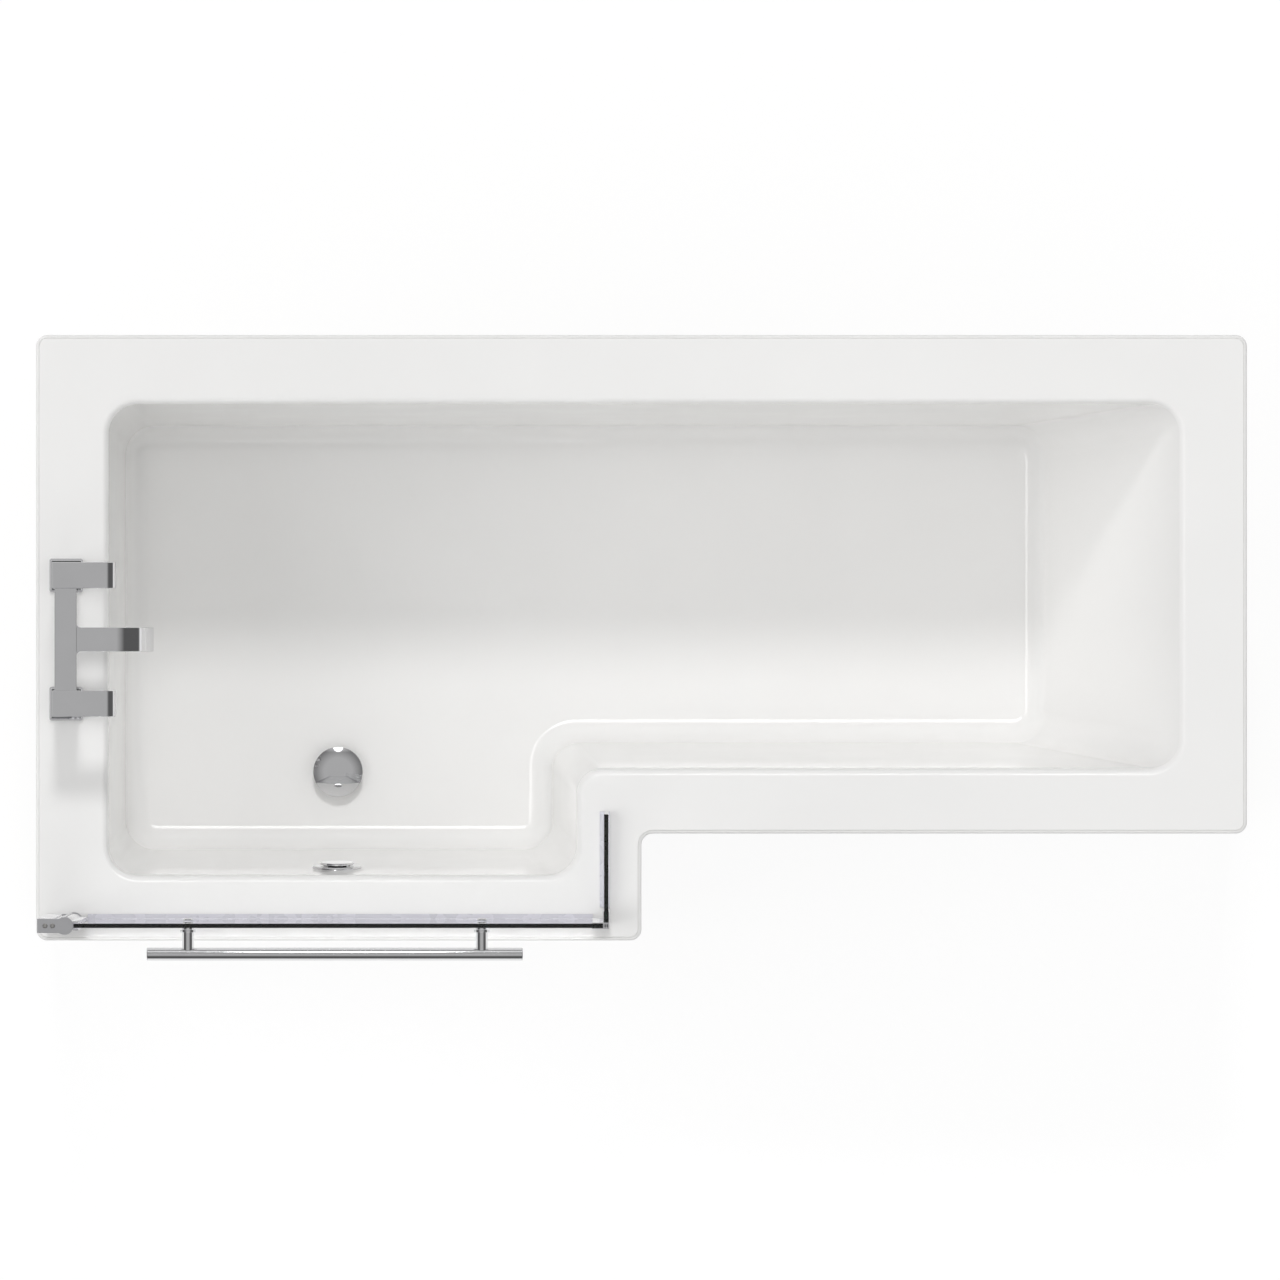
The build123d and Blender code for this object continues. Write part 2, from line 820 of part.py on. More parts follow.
with BuildPart() as overflow_cover_piece:
    with BuildSketch(at_overflow(0)):
        Circle(overflow_cover / 2)
    extrude(amount=overflow_cover_height)
    fillet(overflow_cover_piece.faces().sort_by(overflow_axis)[-1].edges(), overflow_cover_rounding)
    with BuildSketch(at_overflow(0)):
        Circle(overflow_sleeve / 2)
    extrude(amount=-overflow_sleeve_length)
    with BuildSketch(at_overflow(0)):
        Circle(overflow_sleeve / 2 - overflow_sleeve_wall)
    extrude(amount=2 * overflow_sleeve_length, both=True, mode=Mode.SUBTRACT)
    with BuildSketch(at_overflow(overflow_disc_lift - overflow_disc_height)):
        Circle(overflow_disc / 2)
    extrude(amount=overflow_disc_height)
    fillet(overflow_cover_piece.faces().sort_by(overflow_axis)[-1].edges(), overflow_disc_rounding)
    with BuildSketch(at_overflow(0)):
        with PolarLocations(overflow_sleeve / 2 - overflow_sleeve_wall / 2, 4, start_angle=45):
            Circle(overflow_sleeve_wall)
    extrude(amount=overflow_disc_lift - overflow_disc_height / 2)
finish_piece(overflow_cover_piece, "overflow_cover")

with BuildPart() as overflow_seal_piece:
    with BuildSketch(at_overflow(seat)):
        Circle(elbow_flange / 2 - overflow_seal)
        Circle(overflow_hole, mode=Mode.SUBTRACT)
    extrude(amount=overflow_seal)
finish_piece(overflow_seal_piece, "overflow_seal")

elbow_axis = seat - elbow_depth / 2
elbow_down = Vector(0, sin(front_slope), -cos(front_slope))
pipe_origin = overflow_plane.origin + overflow_plane.z_dir * elbow_axis
with BuildPart() as overflow_elbow:
    with BuildSketch(at_overflow(seat)):
        Circle(elbow_flange / 2)
    extrude(amount=-elbow_flange_height)
    with BuildSketch(at_overflow(seat)):
        Circle(elbow_diameter / 2)
    extrude(amount=-elbow_depth)
    with BuildSketch(Plane(origin=pipe_origin, x_dir=(1, 0, 0), z_dir=elbow_down)):
        Circle(port_diameter / 2)
    extrude(amount=elbow_stub)
    with BuildSketch(at_overflow(seat)):
        Circle(overflow_hole)
    extrude(amount=-(elbow_depth - body_wall), mode=Mode.SUBTRACT)
    with BuildSketch(Plane(origin=pipe_origin, x_dir=(1, 0, 0), z_dir=elbow_down)):
        Circle(port_bore / 2)
    extrude(amount=elbow_stub, mode=Mode.SUBTRACT)
finish_piece(overflow_elbow, "overflow_elbow")

stub_end = pipe_origin + elbow_down * elbow_stub
pipe_start = stub_end - elbow_down * pipe_overlap
pipe_drop = pipe_start.Z - port_z
pipe_corner = Vector(waste_x, pipe_start.Y + pipe_drop * tan(front_slope), port_z)
pipe_end = Vector(waste_x, waste_y - port_reach + pipe_overlap, port_z)
with BuildPart() as overflow_pipe:
    with BuildLine() as pipe_path:
        FilletPolyline(pipe_start, pipe_corner, pipe_end, radius=pipe_bend)
    with BuildSketch(Plane(origin=pipe_start, x_dir=(1, 0, 0), z_dir=elbow_down)):
        Circle(pipe_diameter / 2)
        Circle(port_diameter / 2 + hole_clearance, mode=Mode.SUBTRACT)
    sweep(path=pipe_path.wires()[0])
finish_piece(overflow_pipe, "overflow_pipe")

# Tap body: pillars, bridge and a spout that runs out flat and curves down into the basin
plate_top = rim_height + tap_plate_height
pillar_top = rim_height + pillar_height
bridge_top = pillar_top - bridge_drop
spout_top = bridge_top - spout_drop
spout_middle = spout_top - spout_thickness / 2
spout_arc = spout_radius - spout_thickness / 2
turn = spout_turn * pi / 180
spout_end = Vector(
    tap_x + spout_straight + spout_arc * sin(turn), tap_y, spout_middle - spout_arc * (1 - cos(turn))
)
spout_down = Vector(cos(turn), 0, -sin(turn))
spout_section = Plane(origin=(tap_x, tap_y, spout_middle), x_dir=(0, 1, 0), z_dir=(1, 0, 0))
spout_mouth = Plane(origin=spout_end, x_dir=(0, 1, 0), z_dir=spout_down)

with BuildPart() as tap_body:
    with BuildSketch(Plane.XY.offset(plate_top)):
        with Locations(*valve_points):
            RectangleRounded(pillar, pillar, pillar_edge)
    extrude(amount=pillar_top - plate_top)
    with BuildSketch(Plane.XZ.offset(-(tap_y - valve_distance / 2))):
        with Locations((tap_x, bridge_top - bridge_height / 2)):
            RectangleRounded(bridge_width, bridge_height, pillar_edge)
    extrude(amount=-valve_distance)
    with BuildLine() as spout_path:
        spout_run = Line((tap_x, tap_y, spout_middle), (tap_x + spout_straight, tap_y, spout_middle))
        TangentArc(spout_run @ 1, spout_end, tangent=spout_run % 1)
    with BuildSketch(spout_section):
        RectangleRounded(spout_width, spout_thickness, pillar_edge)
    sweep(path=spout_path.wires()[0])
    root_x = tap_x + bridge_width / 2
    root_edges = tap_body.edges().filter_by(Axis.Z).filter_by(
        lambda edge: abs(edge.center().X - root_x) < pick_range
        and abs(edge.center().Y - tap_y) < spout_width
    )
    fillet(root_edges, spout_fillet)
    with BuildSketch(spout_mouth):
        RectangleRounded(aerator_width, aerator_thickness, aerator_corner)
    extrude(amount=-aerator_depth, mode=Mode.SUBTRACT)
    with Locations(*[(x, y, pillar_top) for x, y in valve_points]):
        Cylinder(
            cartridge_diameter / 2 + hole_clearance,
            cartridge_depth,
            align=(Align.CENTER, Align.CENTER, Align.MAX),
            mode=Mode.SUBTRACT,
        )
    with Locations(*[(x, y, plate_top) for x, y in valve_points]):
        Cylinder(
            tail_diameter / 2 + hole_clearance,
            tail_grip,
            align=(Align.CENTER, Align.CENTER, Align.MIN),
            mode=Mode.SUBTRACT,
        )
finish_piece(tap_body, "tap_body")

with BuildPart() as tap_aerator:
    with BuildSketch(spout_mouth):
        RectangleRounded(
            aerator_width - 2 * hole_clearance,
            aerator_thickness - 2 * hole_clearance,
            aerator_corner - hole_clearance,
        )
        with GridLocations(aerator_hole_pitch, aerator_hole_pitch, 7, 2):
            Circle(aerator_hole / 2, mode=Mode.SUBTRACT)
    extrude(amount=-aerator_depth)
finish_piece(tap_aerator, "tap_aerator")

with BuildPart() as tap_plates:
    with BuildSketch(Plane.XY.offset(rim_height)):
        with Locations(*valve_points):
            RectangleRounded(tap_plate, tap_plate, pillar_edge)
            Circle(tail_diameter / 2 + hole_clearance, mode=Mode.SUBTRACT)
    extrude(amount=tap_plate_height)
    plate_rim = tap_plates.faces().group_by(Axis.Z)[-1].edges()
    chamfer(plate_rim.filter_by(GeomType.CIRCLE, reverse=True), tap_plate_chamfer)
finish_piece(tap_plates, "tap_plates")

with BuildPart() as tap_cartridges:
    for x, y in valve_points:
        turned(
            x,
            y,
            [
                (0, pillar_top - cartridge_depth),
                (cartridge_diameter / 2, pillar_top - cartridge_depth),
                (cartridge_diameter / 2, pillar_top),
                (spindle_diameter / 2 + running_fit, pillar_top),
                (spindle_diameter / 2 + running_fit, pillar_top - spindle_grip),
                (0, pillar_top - spindle_grip),
            ],
        )
finish_piece(tap_cartridges, "tap_cartridges")

with BuildPart() as tap_tails:
    with BuildSketch(Plane.XY.offset(plate_top + tail_grip - hole_clearance)):
        with Locations(*valve_points):
            Circle(tail_diameter / 2)
            Circle(tail_bore / 2, mode=Mode.SUBTRACT)
    extrude(amount=-(tail_grip - hole_clearance + tap_plate_height + tail_length))
    with BuildSketch(Plane.XY.offset(rim_height - tail_length + tail_end_thread)):
        with Locations(*valve_points):
            Circle(tail_diameter / 2)
            Circle(tail_diameter / 2 - tail_groove / 2, mode=Mode.SUBTRACT)
    extrude(amount=tail_groove, mode=Mode.SUBTRACT)
finish_piece(tap_tails, "tap_tails")

washer_low = batten_low - tap_washer_height
with BuildPart() as tap_washers:
    with BuildSketch(Plane.XY.offset(washer_low)):
        with Locations(*valve_points):
            Circle(tap_washer / 2)
            Circle(tail_diameter / 2 + hole_clearance, mode=Mode.SUBTRACT)
    extrude(amount=tap_washer_height)
finish_piece(tap_washers, "tap_washers")

with BuildPart() as tap_backnuts:
    with BuildSketch(Plane.XY.offset(washer_low)):
        with Locations(*valve_points):
            RegularPolygon(backnut_across_flats / 2, 6, major_radius=False)
            Circle(tail_diameter / 2 + hole_clearance, mode=Mode.SUBTRACT)
    extrude(amount=-backnut_height)
finish_piece(tap_backnuts, "tap_backnuts")

# Levers: a hub on the spindle and a flat blade whose end turns down
hub_low = pillar_top + body_gap
blade_low = hub_low + lever_hub
blade_middle = blade_low + lever_thickness / 2
bend = lever_turn * pi / 180
for (x, y), side in zip(valve_points, ["front", "back"]):
    bend_start = Vector(x + lever_reach, y, blade_middle)
    bend_end = bend_start + Vector(lever_bend * sin(bend), 0, -lever_bend * (1 - cos(bend)))
    with BuildPart() as lever:
        with BuildSketch(Plane.XY.offset(hub_low)):
            with Locations((x, y)):
                RectangleRounded(pillar, pillar, pillar_edge)
        extrude(amount=lever_hub)
        with BuildLine() as blade_path:
            blade_run = Line((x - lever_back, y, blade_middle), bend_start)
            TangentArc(bend_start, bend_end, tangent=(1, 0, 0))
        with BuildSketch(Plane(origin=blade_run @ 0, x_dir=(0, 1, 0), z_dir=(1, 0, 0))):
            RectangleRounded(lever_width, lever_thickness, lever_edge)
        sweep(path=blade_path.wires()[0])
        with Locations((x, y, hub_low)):
            Cylinder(
                spindle_diameter / 2 + hole_clearance,
                lever_hub,
                align=(Align.CENTER, Align.CENTER, Align.MIN),
                mode=Mode.SUBTRACT,
            )
    finish_piece(lever, f"lever_{side}")
    with BuildPart() as spindle:
        with Locations((x, y, pillar_top - spindle_grip + body_gap)):
            Cylinder(
                spindle_diameter / 2,
                spindle_grip + lever_hub,
                align=(Align.CENTER, Align.CENTER, Align.MIN),
            )
    finish_piece(spindle, f"spindle_{side}")

# Screen hinge on the end wall: channel, sliding pivot profile, caps with pins, turning glazing bar
wall_x = x_left + wall_finish
hinge_x = wall_x + hinge_reach
hinge_y = y_front + screen_from_front
screen_top = rim_height + screen_height
profile_low = rim_height + seal_lift + cap_height
profile_high = screen_top - cap_height
profile_length = profile_high - profile_low
rail_z = rim_height + rail_height
slide_half = channel_width / 2 - profile_wall - profile_slide_gap
screw_heights = [profile_low + profile_screw_drop, rail_z, profile_high - profile_screw_drop]


def side_screw_plane(z):
    """Plane on the basin side of the wall channel, facing into the basin, at height z."""
    middle = wall_x + (channel_depth + hinge_reach - profile_reach) / 2
    return Plane(origin=(middle, hinge_y + channel_width / 2, z), x_dir=(-1, 0, 0), z_dir=(0, 1, 0))


with BuildPart() as wall_channel:
    with BuildSketch(Plane.XY.offset(profile_low)):
        with Locations((wall_x, hinge_y)):
            Rectangle(channel_depth, channel_width, align=(Align.MIN, Align.CENTER))
        with Locations((wall_x + profile_wall, hinge_y)):
            Rectangle(
                channel_depth,
                channel_width - 2 * profile_wall,
                align=(Align.MIN, Align.CENTER),
                mode=Mode.SUBTRACT,
            )
    extrude(amount=profile_length)
    for step in (-1, 0, 1):
        hole_origin = (wall_x, hinge_y, rail_z + step * channel_hole_pitch)
        with BuildSketch(Plane(origin=hole_origin, x_dir=(0, 1, 0), z_dir=(1, 0, 0))):
            Circle(channel_hole / 2)
        extrude(amount=profile_wall, mode=Mode.SUBTRACT)
    for z in screw_heights:
        with BuildSketch(side_screw_plane(z)):
            Circle(profile_screw_head / 2 + hole_clearance / 2)
        extrude(amount=-profile_wall, mode=Mode.SUBTRACT)
finish_piece(wall_channel, "wall_channel")

cap_screw_points = [(hinge_x - cap_screw_near, hinge_y), (hinge_x - cap_screw_far, hinge_y)]
cup_radius = knuckle / 2
cup_bore = cup_radius - knuckle_wall
bar_radius = cup_bore - body_gap
with BuildPart() as pivot_profile:
    with BuildSketch(Plane.XY.offset(profile_low)):
        with Locations((hinge_x - profile_reach, hinge_y)):
            Rectangle(profile_reach - cup_bore, 2 * slide_half, align=(Align.MIN, Align.CENTER))
        with Locations((hinge_x - profile_reach + profile_wall, hinge_y)):
            Rectangle(
                profile_reach - cup_radius - 2 * profile_wall,
                2 * (slide_half - profile_wall),
                align=(Align.MIN, Align.CENTER),
                mode=Mode.SUBTRACT,
            )
        with Locations(*cap_screw_points):
            Rectangle(profile_wall, 2 * slide_half)
            Circle(cap_boss / 2)
            Circle(cap_screw_diameter / 2 + hole_clearance / 2, mode=Mode.SUBTRACT)
        with Locations((hinge_x, hinge_y)):
            Circle(cup_radius)
            Circle(cup_bore, mode=Mode.SUBTRACT)
        with BuildLine():
            cup_middle = (hinge_x, hinge_y)
            open_turn = full_turn + cup_start - cup_end
            sweep_arc = CenterArc(cup_middle, 2 * cup_radius, cup_end - full_turn, open_turn)
            Line(cup_middle, sweep_arc @ 0)
            Line(cup_middle, sweep_arc @ 1)
        make_face(mode=Mode.SUBTRACT)
    extrude(amount=profile_length)
    for z in screw_heights:
        with BuildSketch(side_screw_plane(z)):
            Circle(profile_screw_diameter / 2 + hole_clearance / 2)
        extrude(amount=-(profile_wall + profile_screw_length), mode=Mode.SUBTRACT)
finish_piece(pivot_profile, "pivot_profile")

with BuildPart() as profile_screws:
    for z in screw_heights:
        with BuildSketch(side_screw_plane(z)):
            Circle(profile_screw_head / 2)
        extrude(amount=-profile_wall)
        with BuildSketch(side_screw_plane(z).offset(-profile_wall)):
            Circle(profile_screw_diameter / 2)
        extrude(amount=-profile_screw_length)
finish_piece(profile_screws, "profile_screws")

for name, base, pin_side in (
    ("hinge_cap_top", profile_high, -1),
    ("hinge_cap_bottom", profile_low - cap_height, 1),
):
    pin_base = base + cap_height / 2
    with BuildPart() as hinge_cap:
        with BuildSketch(Plane.XY.offset(base)):
            with Locations((wall_x, hinge_y)):
                Rectangle(hinge_reach, channel_width, align=(Align.MIN, Align.CENTER))
            with Locations((hinge_x, hinge_y)):
                Circle(cup_radius)
        extrude(amount=cap_height)
        with BuildSketch(Plane.XY.offset(pin_base)):
            with Locations((hinge_x, hinge_y)):
                Circle(cap_pin / 2)
        extrude(amount=pin_side * (cap_height / 2 + cap_pin_length))
        with Locations(*[(x, y, pin_base) for x, y in cap_screw_points]):
            Cylinder(cap_screw_diameter / 2 + hole_clearance / 2, 2 * cap_height, mode=Mode.SUBTRACT)
    finish_piece(hinge_cap, name)

with BuildPart() as hinge_cap_screws:
    with BuildSketch(Plane.XY.offset(screen_top)):
        with Locations(*cap_screw_points):
            Circle(cap_screw_head / 2)
    extrude(amount=cap_screw_head_height)
    for end, way in ((screen_top, -1), (profile_low - cap_height, 1)):
        with BuildSketch(Plane.XY.offset(end)):
            with Locations(*cap_screw_points):
                Circle(cap_screw_diameter / 2)
        extrude(amount=way * cap_screw_length)
finish_piece(hinge_cap_screws, "hinge_cap_screws")

slot_half = glass / 2 + glazing_gasket_wall
slot_start = glass_from_hinge - glazing_gasket_wall
bar_low = profile_low + body_gap
bar_high = profile_high - body_gap
with BuildPart() as glazing_bar:
    with BuildSketch(Plane.XY.offset(bar_low)):
        with Locations((hinge_x, hinge_y)):
            Circle(bar_radius)
            Rectangle(glazing_reach, glazing_width, align=(Align.MIN, Align.CENTER))
            Circle(cap_pin / 2 + running_fit, mode=Mode.SUBTRACT)
        with Locations((hinge_x + slot_start, hinge_y)):
            Rectangle(glazing_reach, 2 * slot_half, align=(Align.MIN, Align.CENTER), mode=Mode.SUBTRACT)
    extrude(amount=bar_high - bar_low)
finish_piece(glazing_bar, "glazing_bar")

with BuildPart() as glazing_gasket:
    with BuildSketch(Plane.XY.offset(bar_low)):
        with Locations((hinge_x + slot_start, hinge_y)):
            Rectangle(glazing_reach - slot_start, 2 * slot_half, align=(Align.MIN, Align.CENTER))
        with Locations((hinge_x + glass_from_hinge, hinge_y)):
            Rectangle(glazing_reach, glass, align=(Align.MIN, Align.CENTER), mode=Mode.SUBTRACT)
    extrude(amount=bar_high - bar_low)
finish_piece(glazing_gasket, "glazing_gasket")

# Panes: toughened glass with polished edges, the long one drilled for the rail
corner_x = x_step - corner_from_step
corner_half = glass / 2 + corner_fit + corner_wall
glass_low = rim_height + glass_over_rim
pane_end = corner_x - corner_half - corner_fit
return_start = hinge_y + corner_half + corner_fit
return_end = hinge_y + return_length
post_points = [x_left + rail_from_end + step * rail_post_spacing for step in (-0.5, 0.5)]


def rail_plane(x, y):
    """Upright plane at a rail post, facing out of the bath."""
    return Plane(origin=(x, y, rail_z), x_dir=(1, 0, 0), z_dir=(0, -1, 0))


with BuildPart() as front_glass:
    plain_box(
        (hinge_x + glass_from_hinge, hinge_y - glass / 2, glass_low),
        (pane_end, hinge_y + glass / 2, bar_high),
    )
    for x in post_points:
        with BuildSketch(rail_plane(x, hinge_y)):
            Circle(glass_hole / 2)
        extrude(amount=glass, both=True, mode=Mode.SUBTRACT)
finish_piece(front_glass, "front_glass")

with BuildPart() as return_glass:
    plain_box(
        (corner_x - glass / 2, return_start, glass_low),
        (corner_x + glass / 2, return_end, bar_high),
    )
    free_edges = return_glass.edges().filter_by(Axis.Z).group_by(Axis.Y)[-1]
    chamfer(free_edges, glass_edge)
finish_piece(return_glass, "return_glass")

with BuildPart() as corner_profile:
    slot = glass + 2 * corner_fit
    with BuildSketch(Plane.XY.offset(rim_height + corner_lift)):
        with Locations((corner_x, hinge_y)):
            Rectangle(2 * corner_half, 2 * corner_half)
            with Locations((-corner_half, 0)):
                Rectangle(corner_leg, 2 * corner_half, align=(Align.MAX, Align.CENTER))
                Rectangle(corner_leg, slot, align=(Align.MAX, Align.CENTER), mode=Mode.SUBTRACT)
            with Locations((0, corner_half)):
                Rectangle(2 * corner_half, corner_leg, align=(Align.CENTER, Align.MIN))
                Rectangle(slot, corner_leg, align=(Align.CENTER, Align.MIN), mode=Mode.SUBTRACT)
            with Locations((-corner_slot, 0), (corner_slot, 0)):
                SlotOverall(glass - corner_wall, corner_slot, rotation=90, mode=Mode.SUBTRACT)
    extrude(amount=bar_high - rim_height - corner_lift)
    outer_edge = (corner_x + corner_half, hinge_y - corner_half, rail_z)
    uprights = corner_profile.edges().filter_by(Axis.Z)
    fillet(uprights.sort_by_distance(outer_edge)[0], corner_wall)
finish_piece(corner_profile, "corner_profile")


def seal_outline():
    """Section of a bottom seal about the pane's middle: clip, base, drip lip and a fin on one side."""
    inner = glass / 2
    outer = inner + seal_wall
    base_top = glass_over_rim
    base_low = glass_over_rim - seal_base
    fin_end = inner + seal_fin
    points = [
        (-outer, base_top + seal_leg),
        (-inner, base_top + seal_leg),
        (-inner, base_top),
        (inner, base_top),
        (inner, base_top + seal_leg),
        (outer, base_top + seal_leg),
        (outer, base_low + seal_wall),
        (fin_end, seal_lift + seal_wall),
        (fin_end, seal_lift),
        (inner, base_low),
        (0, base_low),
        (-seal_wall, seal_lift),
        (-2 * seal_wall, seal_lift),
        (-outer, base_low),
    ]
    return [(u, rim_height + w) for u, w in points]


with BuildPart() as front_seal:
    seal_start = hinge_x + glazing_reach + hole_clearance
    with BuildSketch(Plane(origin=(seal_start, hinge_y, 0), x_dir=(0, 1, 0), z_dir=(1, 0, 0))):
        with BuildLine():
            Polyline(*seal_outline(), close=True)
        make_face()
    extrude(amount=corner_x - corner_half - corner_leg - hole_clearance - seal_start)
finish_piece(front_seal, "front_seal")

with BuildPart() as return_seal:
    seal_start = hinge_y + corner_half + corner_leg + hole_clearance
    with BuildSketch(Plane(origin=(corner_x, seal_start, 0), x_dir=(-1, 0, 0), z_dir=(0, 1, 0))):
        with BuildLine():
            Polyline(*seal_outline(), close=True)
        make_face()
    extrude(amount=return_end - seal_start)
finish_piece(return_seal, "return_seal")

# Towel rail outside the long pane: round rod, two collared posts, washers and domed screws
glass_out = hinge_y - glass / 2
glass_in = hinge_y + glass / 2
rod_y = glass_out - rail_stand_off
rod_start = x_left + rail_from_end - rail_length / 2

with BuildPart() as rail_rod:
    with BuildSketch(Plane(origin=(rod_start, rod_y, rail_z), x_dir=(0, 1, 0), z_dir=(1, 0, 0))):
        Circle(rail_diameter / 2)
    extrude(amount=rail_length)
    chamfer(rail_rod.edges().filter_by(GeomType.CIRCLE), rail_end_chamfer)
finish_piece(rail_rod, "rail_rod")

with BuildPart() as rail_posts:
    for x in post_points:
        with BuildSketch(rail_plane(x, glass_out - rail_washer_height)):
            Circle(rail_post / 2)
        extrude(amount=rail_stand_off - rail_washer_height)
        with BuildSketch(rail_plane(x, glass_out - rail_collar_from_glass)):
            Circle(rail_collar / 2)
        extrude(amount=rail_collar_height)
    with BuildSketch(Plane(origin=(rod_start, rod_y, rail_z), x_dir=(0, 1, 0), z_dir=(1, 0, 0))):
        Circle(rail_diameter / 2 + running_fit)
    extrude(amount=rail_length, mode=Mode.SUBTRACT)
    for x in post_points:
        with BuildSketch(rail_plane(x, glass_out)):
            Circle(rail_screw / 2 + hole_clearance)
        extrude(amount=rail_washer_height + rail_screw_grip, mode=Mode.SUBTRACT)
finish_piece(rail_posts, "rail_posts")

with BuildPart() as rail_washers:
    for x in post_points:
        for y, diameter in ((glass_out, rail_washer), (glass_in + rail_washer_height, rail_screw_head)):
            with BuildSketch(rail_plane(x, y)):
                Circle(diameter / 2)
                Circle(rail_screw / 2 + hole_clearance, mode=Mode.SUBTRACT)
            extrude(amount=rail_washer_height)
finish_piece(rail_washers, "rail_washers")

with BuildPart() as rail_screws:
    head_y = glass_in + rail_washer_height
    for x in post_points:
        with BuildSketch(rail_plane(x, head_y)):
            Circle(rail_screw / 2)
        extrude(amount=glass + 2 * rail_washer_height + rail_screw_grip - hole_clearance)
        with BuildSketch(Plane(origin=(x, head_y, rail_z), x_dir=(1, 0, 0), z_dir=(0, 1, 0))):
            Circle(rail_screw_head / 2)
        extrude(amount=rail_screw_head_height)
    heads = rail_screws.faces().sort_by(Axis.Y)[-2:].edges()
    fillet(heads, rail_screw_head_height / 2)
finish_piece(rail_screws, "rail_screws")
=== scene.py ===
"""L-shaped shower bath with a hinged corner screen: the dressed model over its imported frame."""

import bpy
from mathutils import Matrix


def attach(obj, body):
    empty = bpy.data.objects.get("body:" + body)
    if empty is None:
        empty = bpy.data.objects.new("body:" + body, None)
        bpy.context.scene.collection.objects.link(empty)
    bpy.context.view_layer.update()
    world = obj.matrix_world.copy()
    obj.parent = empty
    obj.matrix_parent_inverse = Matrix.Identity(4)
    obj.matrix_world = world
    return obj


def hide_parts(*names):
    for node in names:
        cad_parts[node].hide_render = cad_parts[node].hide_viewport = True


bl_info = {
    "name": "L-Shaped Shower Bath",
    "version": (1, 0, 0),
    "blender": (4, 5, 0),
    "location": "View3D > Sidebar > Shower Bath",
    "description": "Dresses the packed shower bath with fine surfaces, finishes and a plain studio",
    "category": "Object",
}

import bpy
import numpy as np
from bpy.props import FloatProperty, FloatVectorProperty, IntProperty, PointerProperty
from mathutils import Vector
from mathutils.geometry import delaunay_2d_cdt

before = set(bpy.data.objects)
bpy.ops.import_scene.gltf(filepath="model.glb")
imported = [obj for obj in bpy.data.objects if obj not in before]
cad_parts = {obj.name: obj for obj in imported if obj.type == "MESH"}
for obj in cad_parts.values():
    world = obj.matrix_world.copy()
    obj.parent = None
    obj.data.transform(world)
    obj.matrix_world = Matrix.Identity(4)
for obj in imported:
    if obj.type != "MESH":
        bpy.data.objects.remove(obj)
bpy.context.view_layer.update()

MM = 0.001
X, Y, Z = np.eye(3)

# Bath outline and basin, in millimetres, from the floor up
X_LEFT, X_STEP, X_RIGHT = -850.0, 0.0, 850.0
Y_FRONT, Y_NOTCH, Y_BACK = -412.7, -262.7, 437.3
RIM_TOP = 560.0
RIM_SHELL = 5.0
LIP_BOTTOM = 528.0
BASIN_DEPTH = 400.0
OUTER_CORNER = 16.0
OUTER_EDGE = 4.0
MOUTH_ROLL = 9.0
FLOOR_ROLL = 33.0
WALL_CORNER, STEP_CORNER = 42.0, 36.0

# Rim widths and wall leans of the six sides: wide front, step, narrow front, backrest, back, tap end
SIDE_RIMS = np.array([83.0, 82.0, 83.0, 87.0, 88.0, 93.0])
SIDE_LEANS = np.array([38.0, 38.0, 38.0, 196.0, 32.0, 23.0])

PANEL_INSET, PANEL_WALL, PANEL_TOP, PLINTH_TOP, PLINTH_INSET = 5.5, 4.0, 552.0, 90.0, 21.5

WASTE = np.array([-428.0, -176.7, 0.0])
FLOOR_TOP = RIM_TOP - BASIN_DEPTH
OVERFLOW = np.array([-428.0, -312.014, 460.0])
FRONT_SLOPE = np.arctan(38.0 / BASIN_DEPTH)
OVERFLOW_OUT = np.array([0.0, np.cos(FRONT_SLOPE), np.sin(FRONT_SLOPE)])
WASTE_HOLE, OVERFLOW_HOLE = 26.0, 21.3

# Rows of the basin's rings that lie on its flat walls, between floor roll and mouth roll
WALL_ROWS = np.arange(16, 25)

TAP_X, TAP_Y, VALVE_SPACING = -807.5, 9.8, 180.0
VALVES = {"front": TAP_Y - VALVE_SPACING / 2, "back": TAP_Y + VALVE_SPACING / 2}
PLATE_TOP, PILLAR_TOP, BRIDGE_TOP, SPOUT_MIDDLE = 568.0, 668.0, 664.0, 654.0

WALL_X, HINGE_X, HINGE_Y = -834.6, -796.7, -385.5
SCREEN_TOP, PROFILE_LOW, PROFILE_HIGH = 1960.0, 563.5, 1957.0
GLASS_LOW, GLASS_HIGH = 568.0, 1956.6
CORNER_X, PANE_END, RETURN_START, RETURN_END = -48.7, -53.2, -381.0, -231.5
RAIL_Z, ROD_Y, ROD_START, ROD_LENGTH = 1260.0, -428.3, -689.0, 524.0
POSTS = (-631.5, -222.5)

LEGS = ((-650, -327.7), (-650, 352.3), (-90, -327.7), (-90, 352.3), (440, -177.7), (440, 352.3))
BOARD_UNDER = 137.0


def quads(rows, columns, wrapped=False):
    """Faces of a grid whose rows are closed rings: corner (r, c) joins (r, c + 1), (r + 1, c + 1) and
    (r + 1, c), with c taken round the ring, and r too where the last row meets the first."""
    r = np.arange(rows if wrapped else rows - 1)[:, None]
    c = np.arange(columns)[None, :]
    above, beside = (r + 1) % rows, (c + 1) % columns
    corners = [r * columns + c, r * columns + beside, above * columns + beside, above * columns + c]
    return np.stack(corners, -1).reshape(-1, 4)


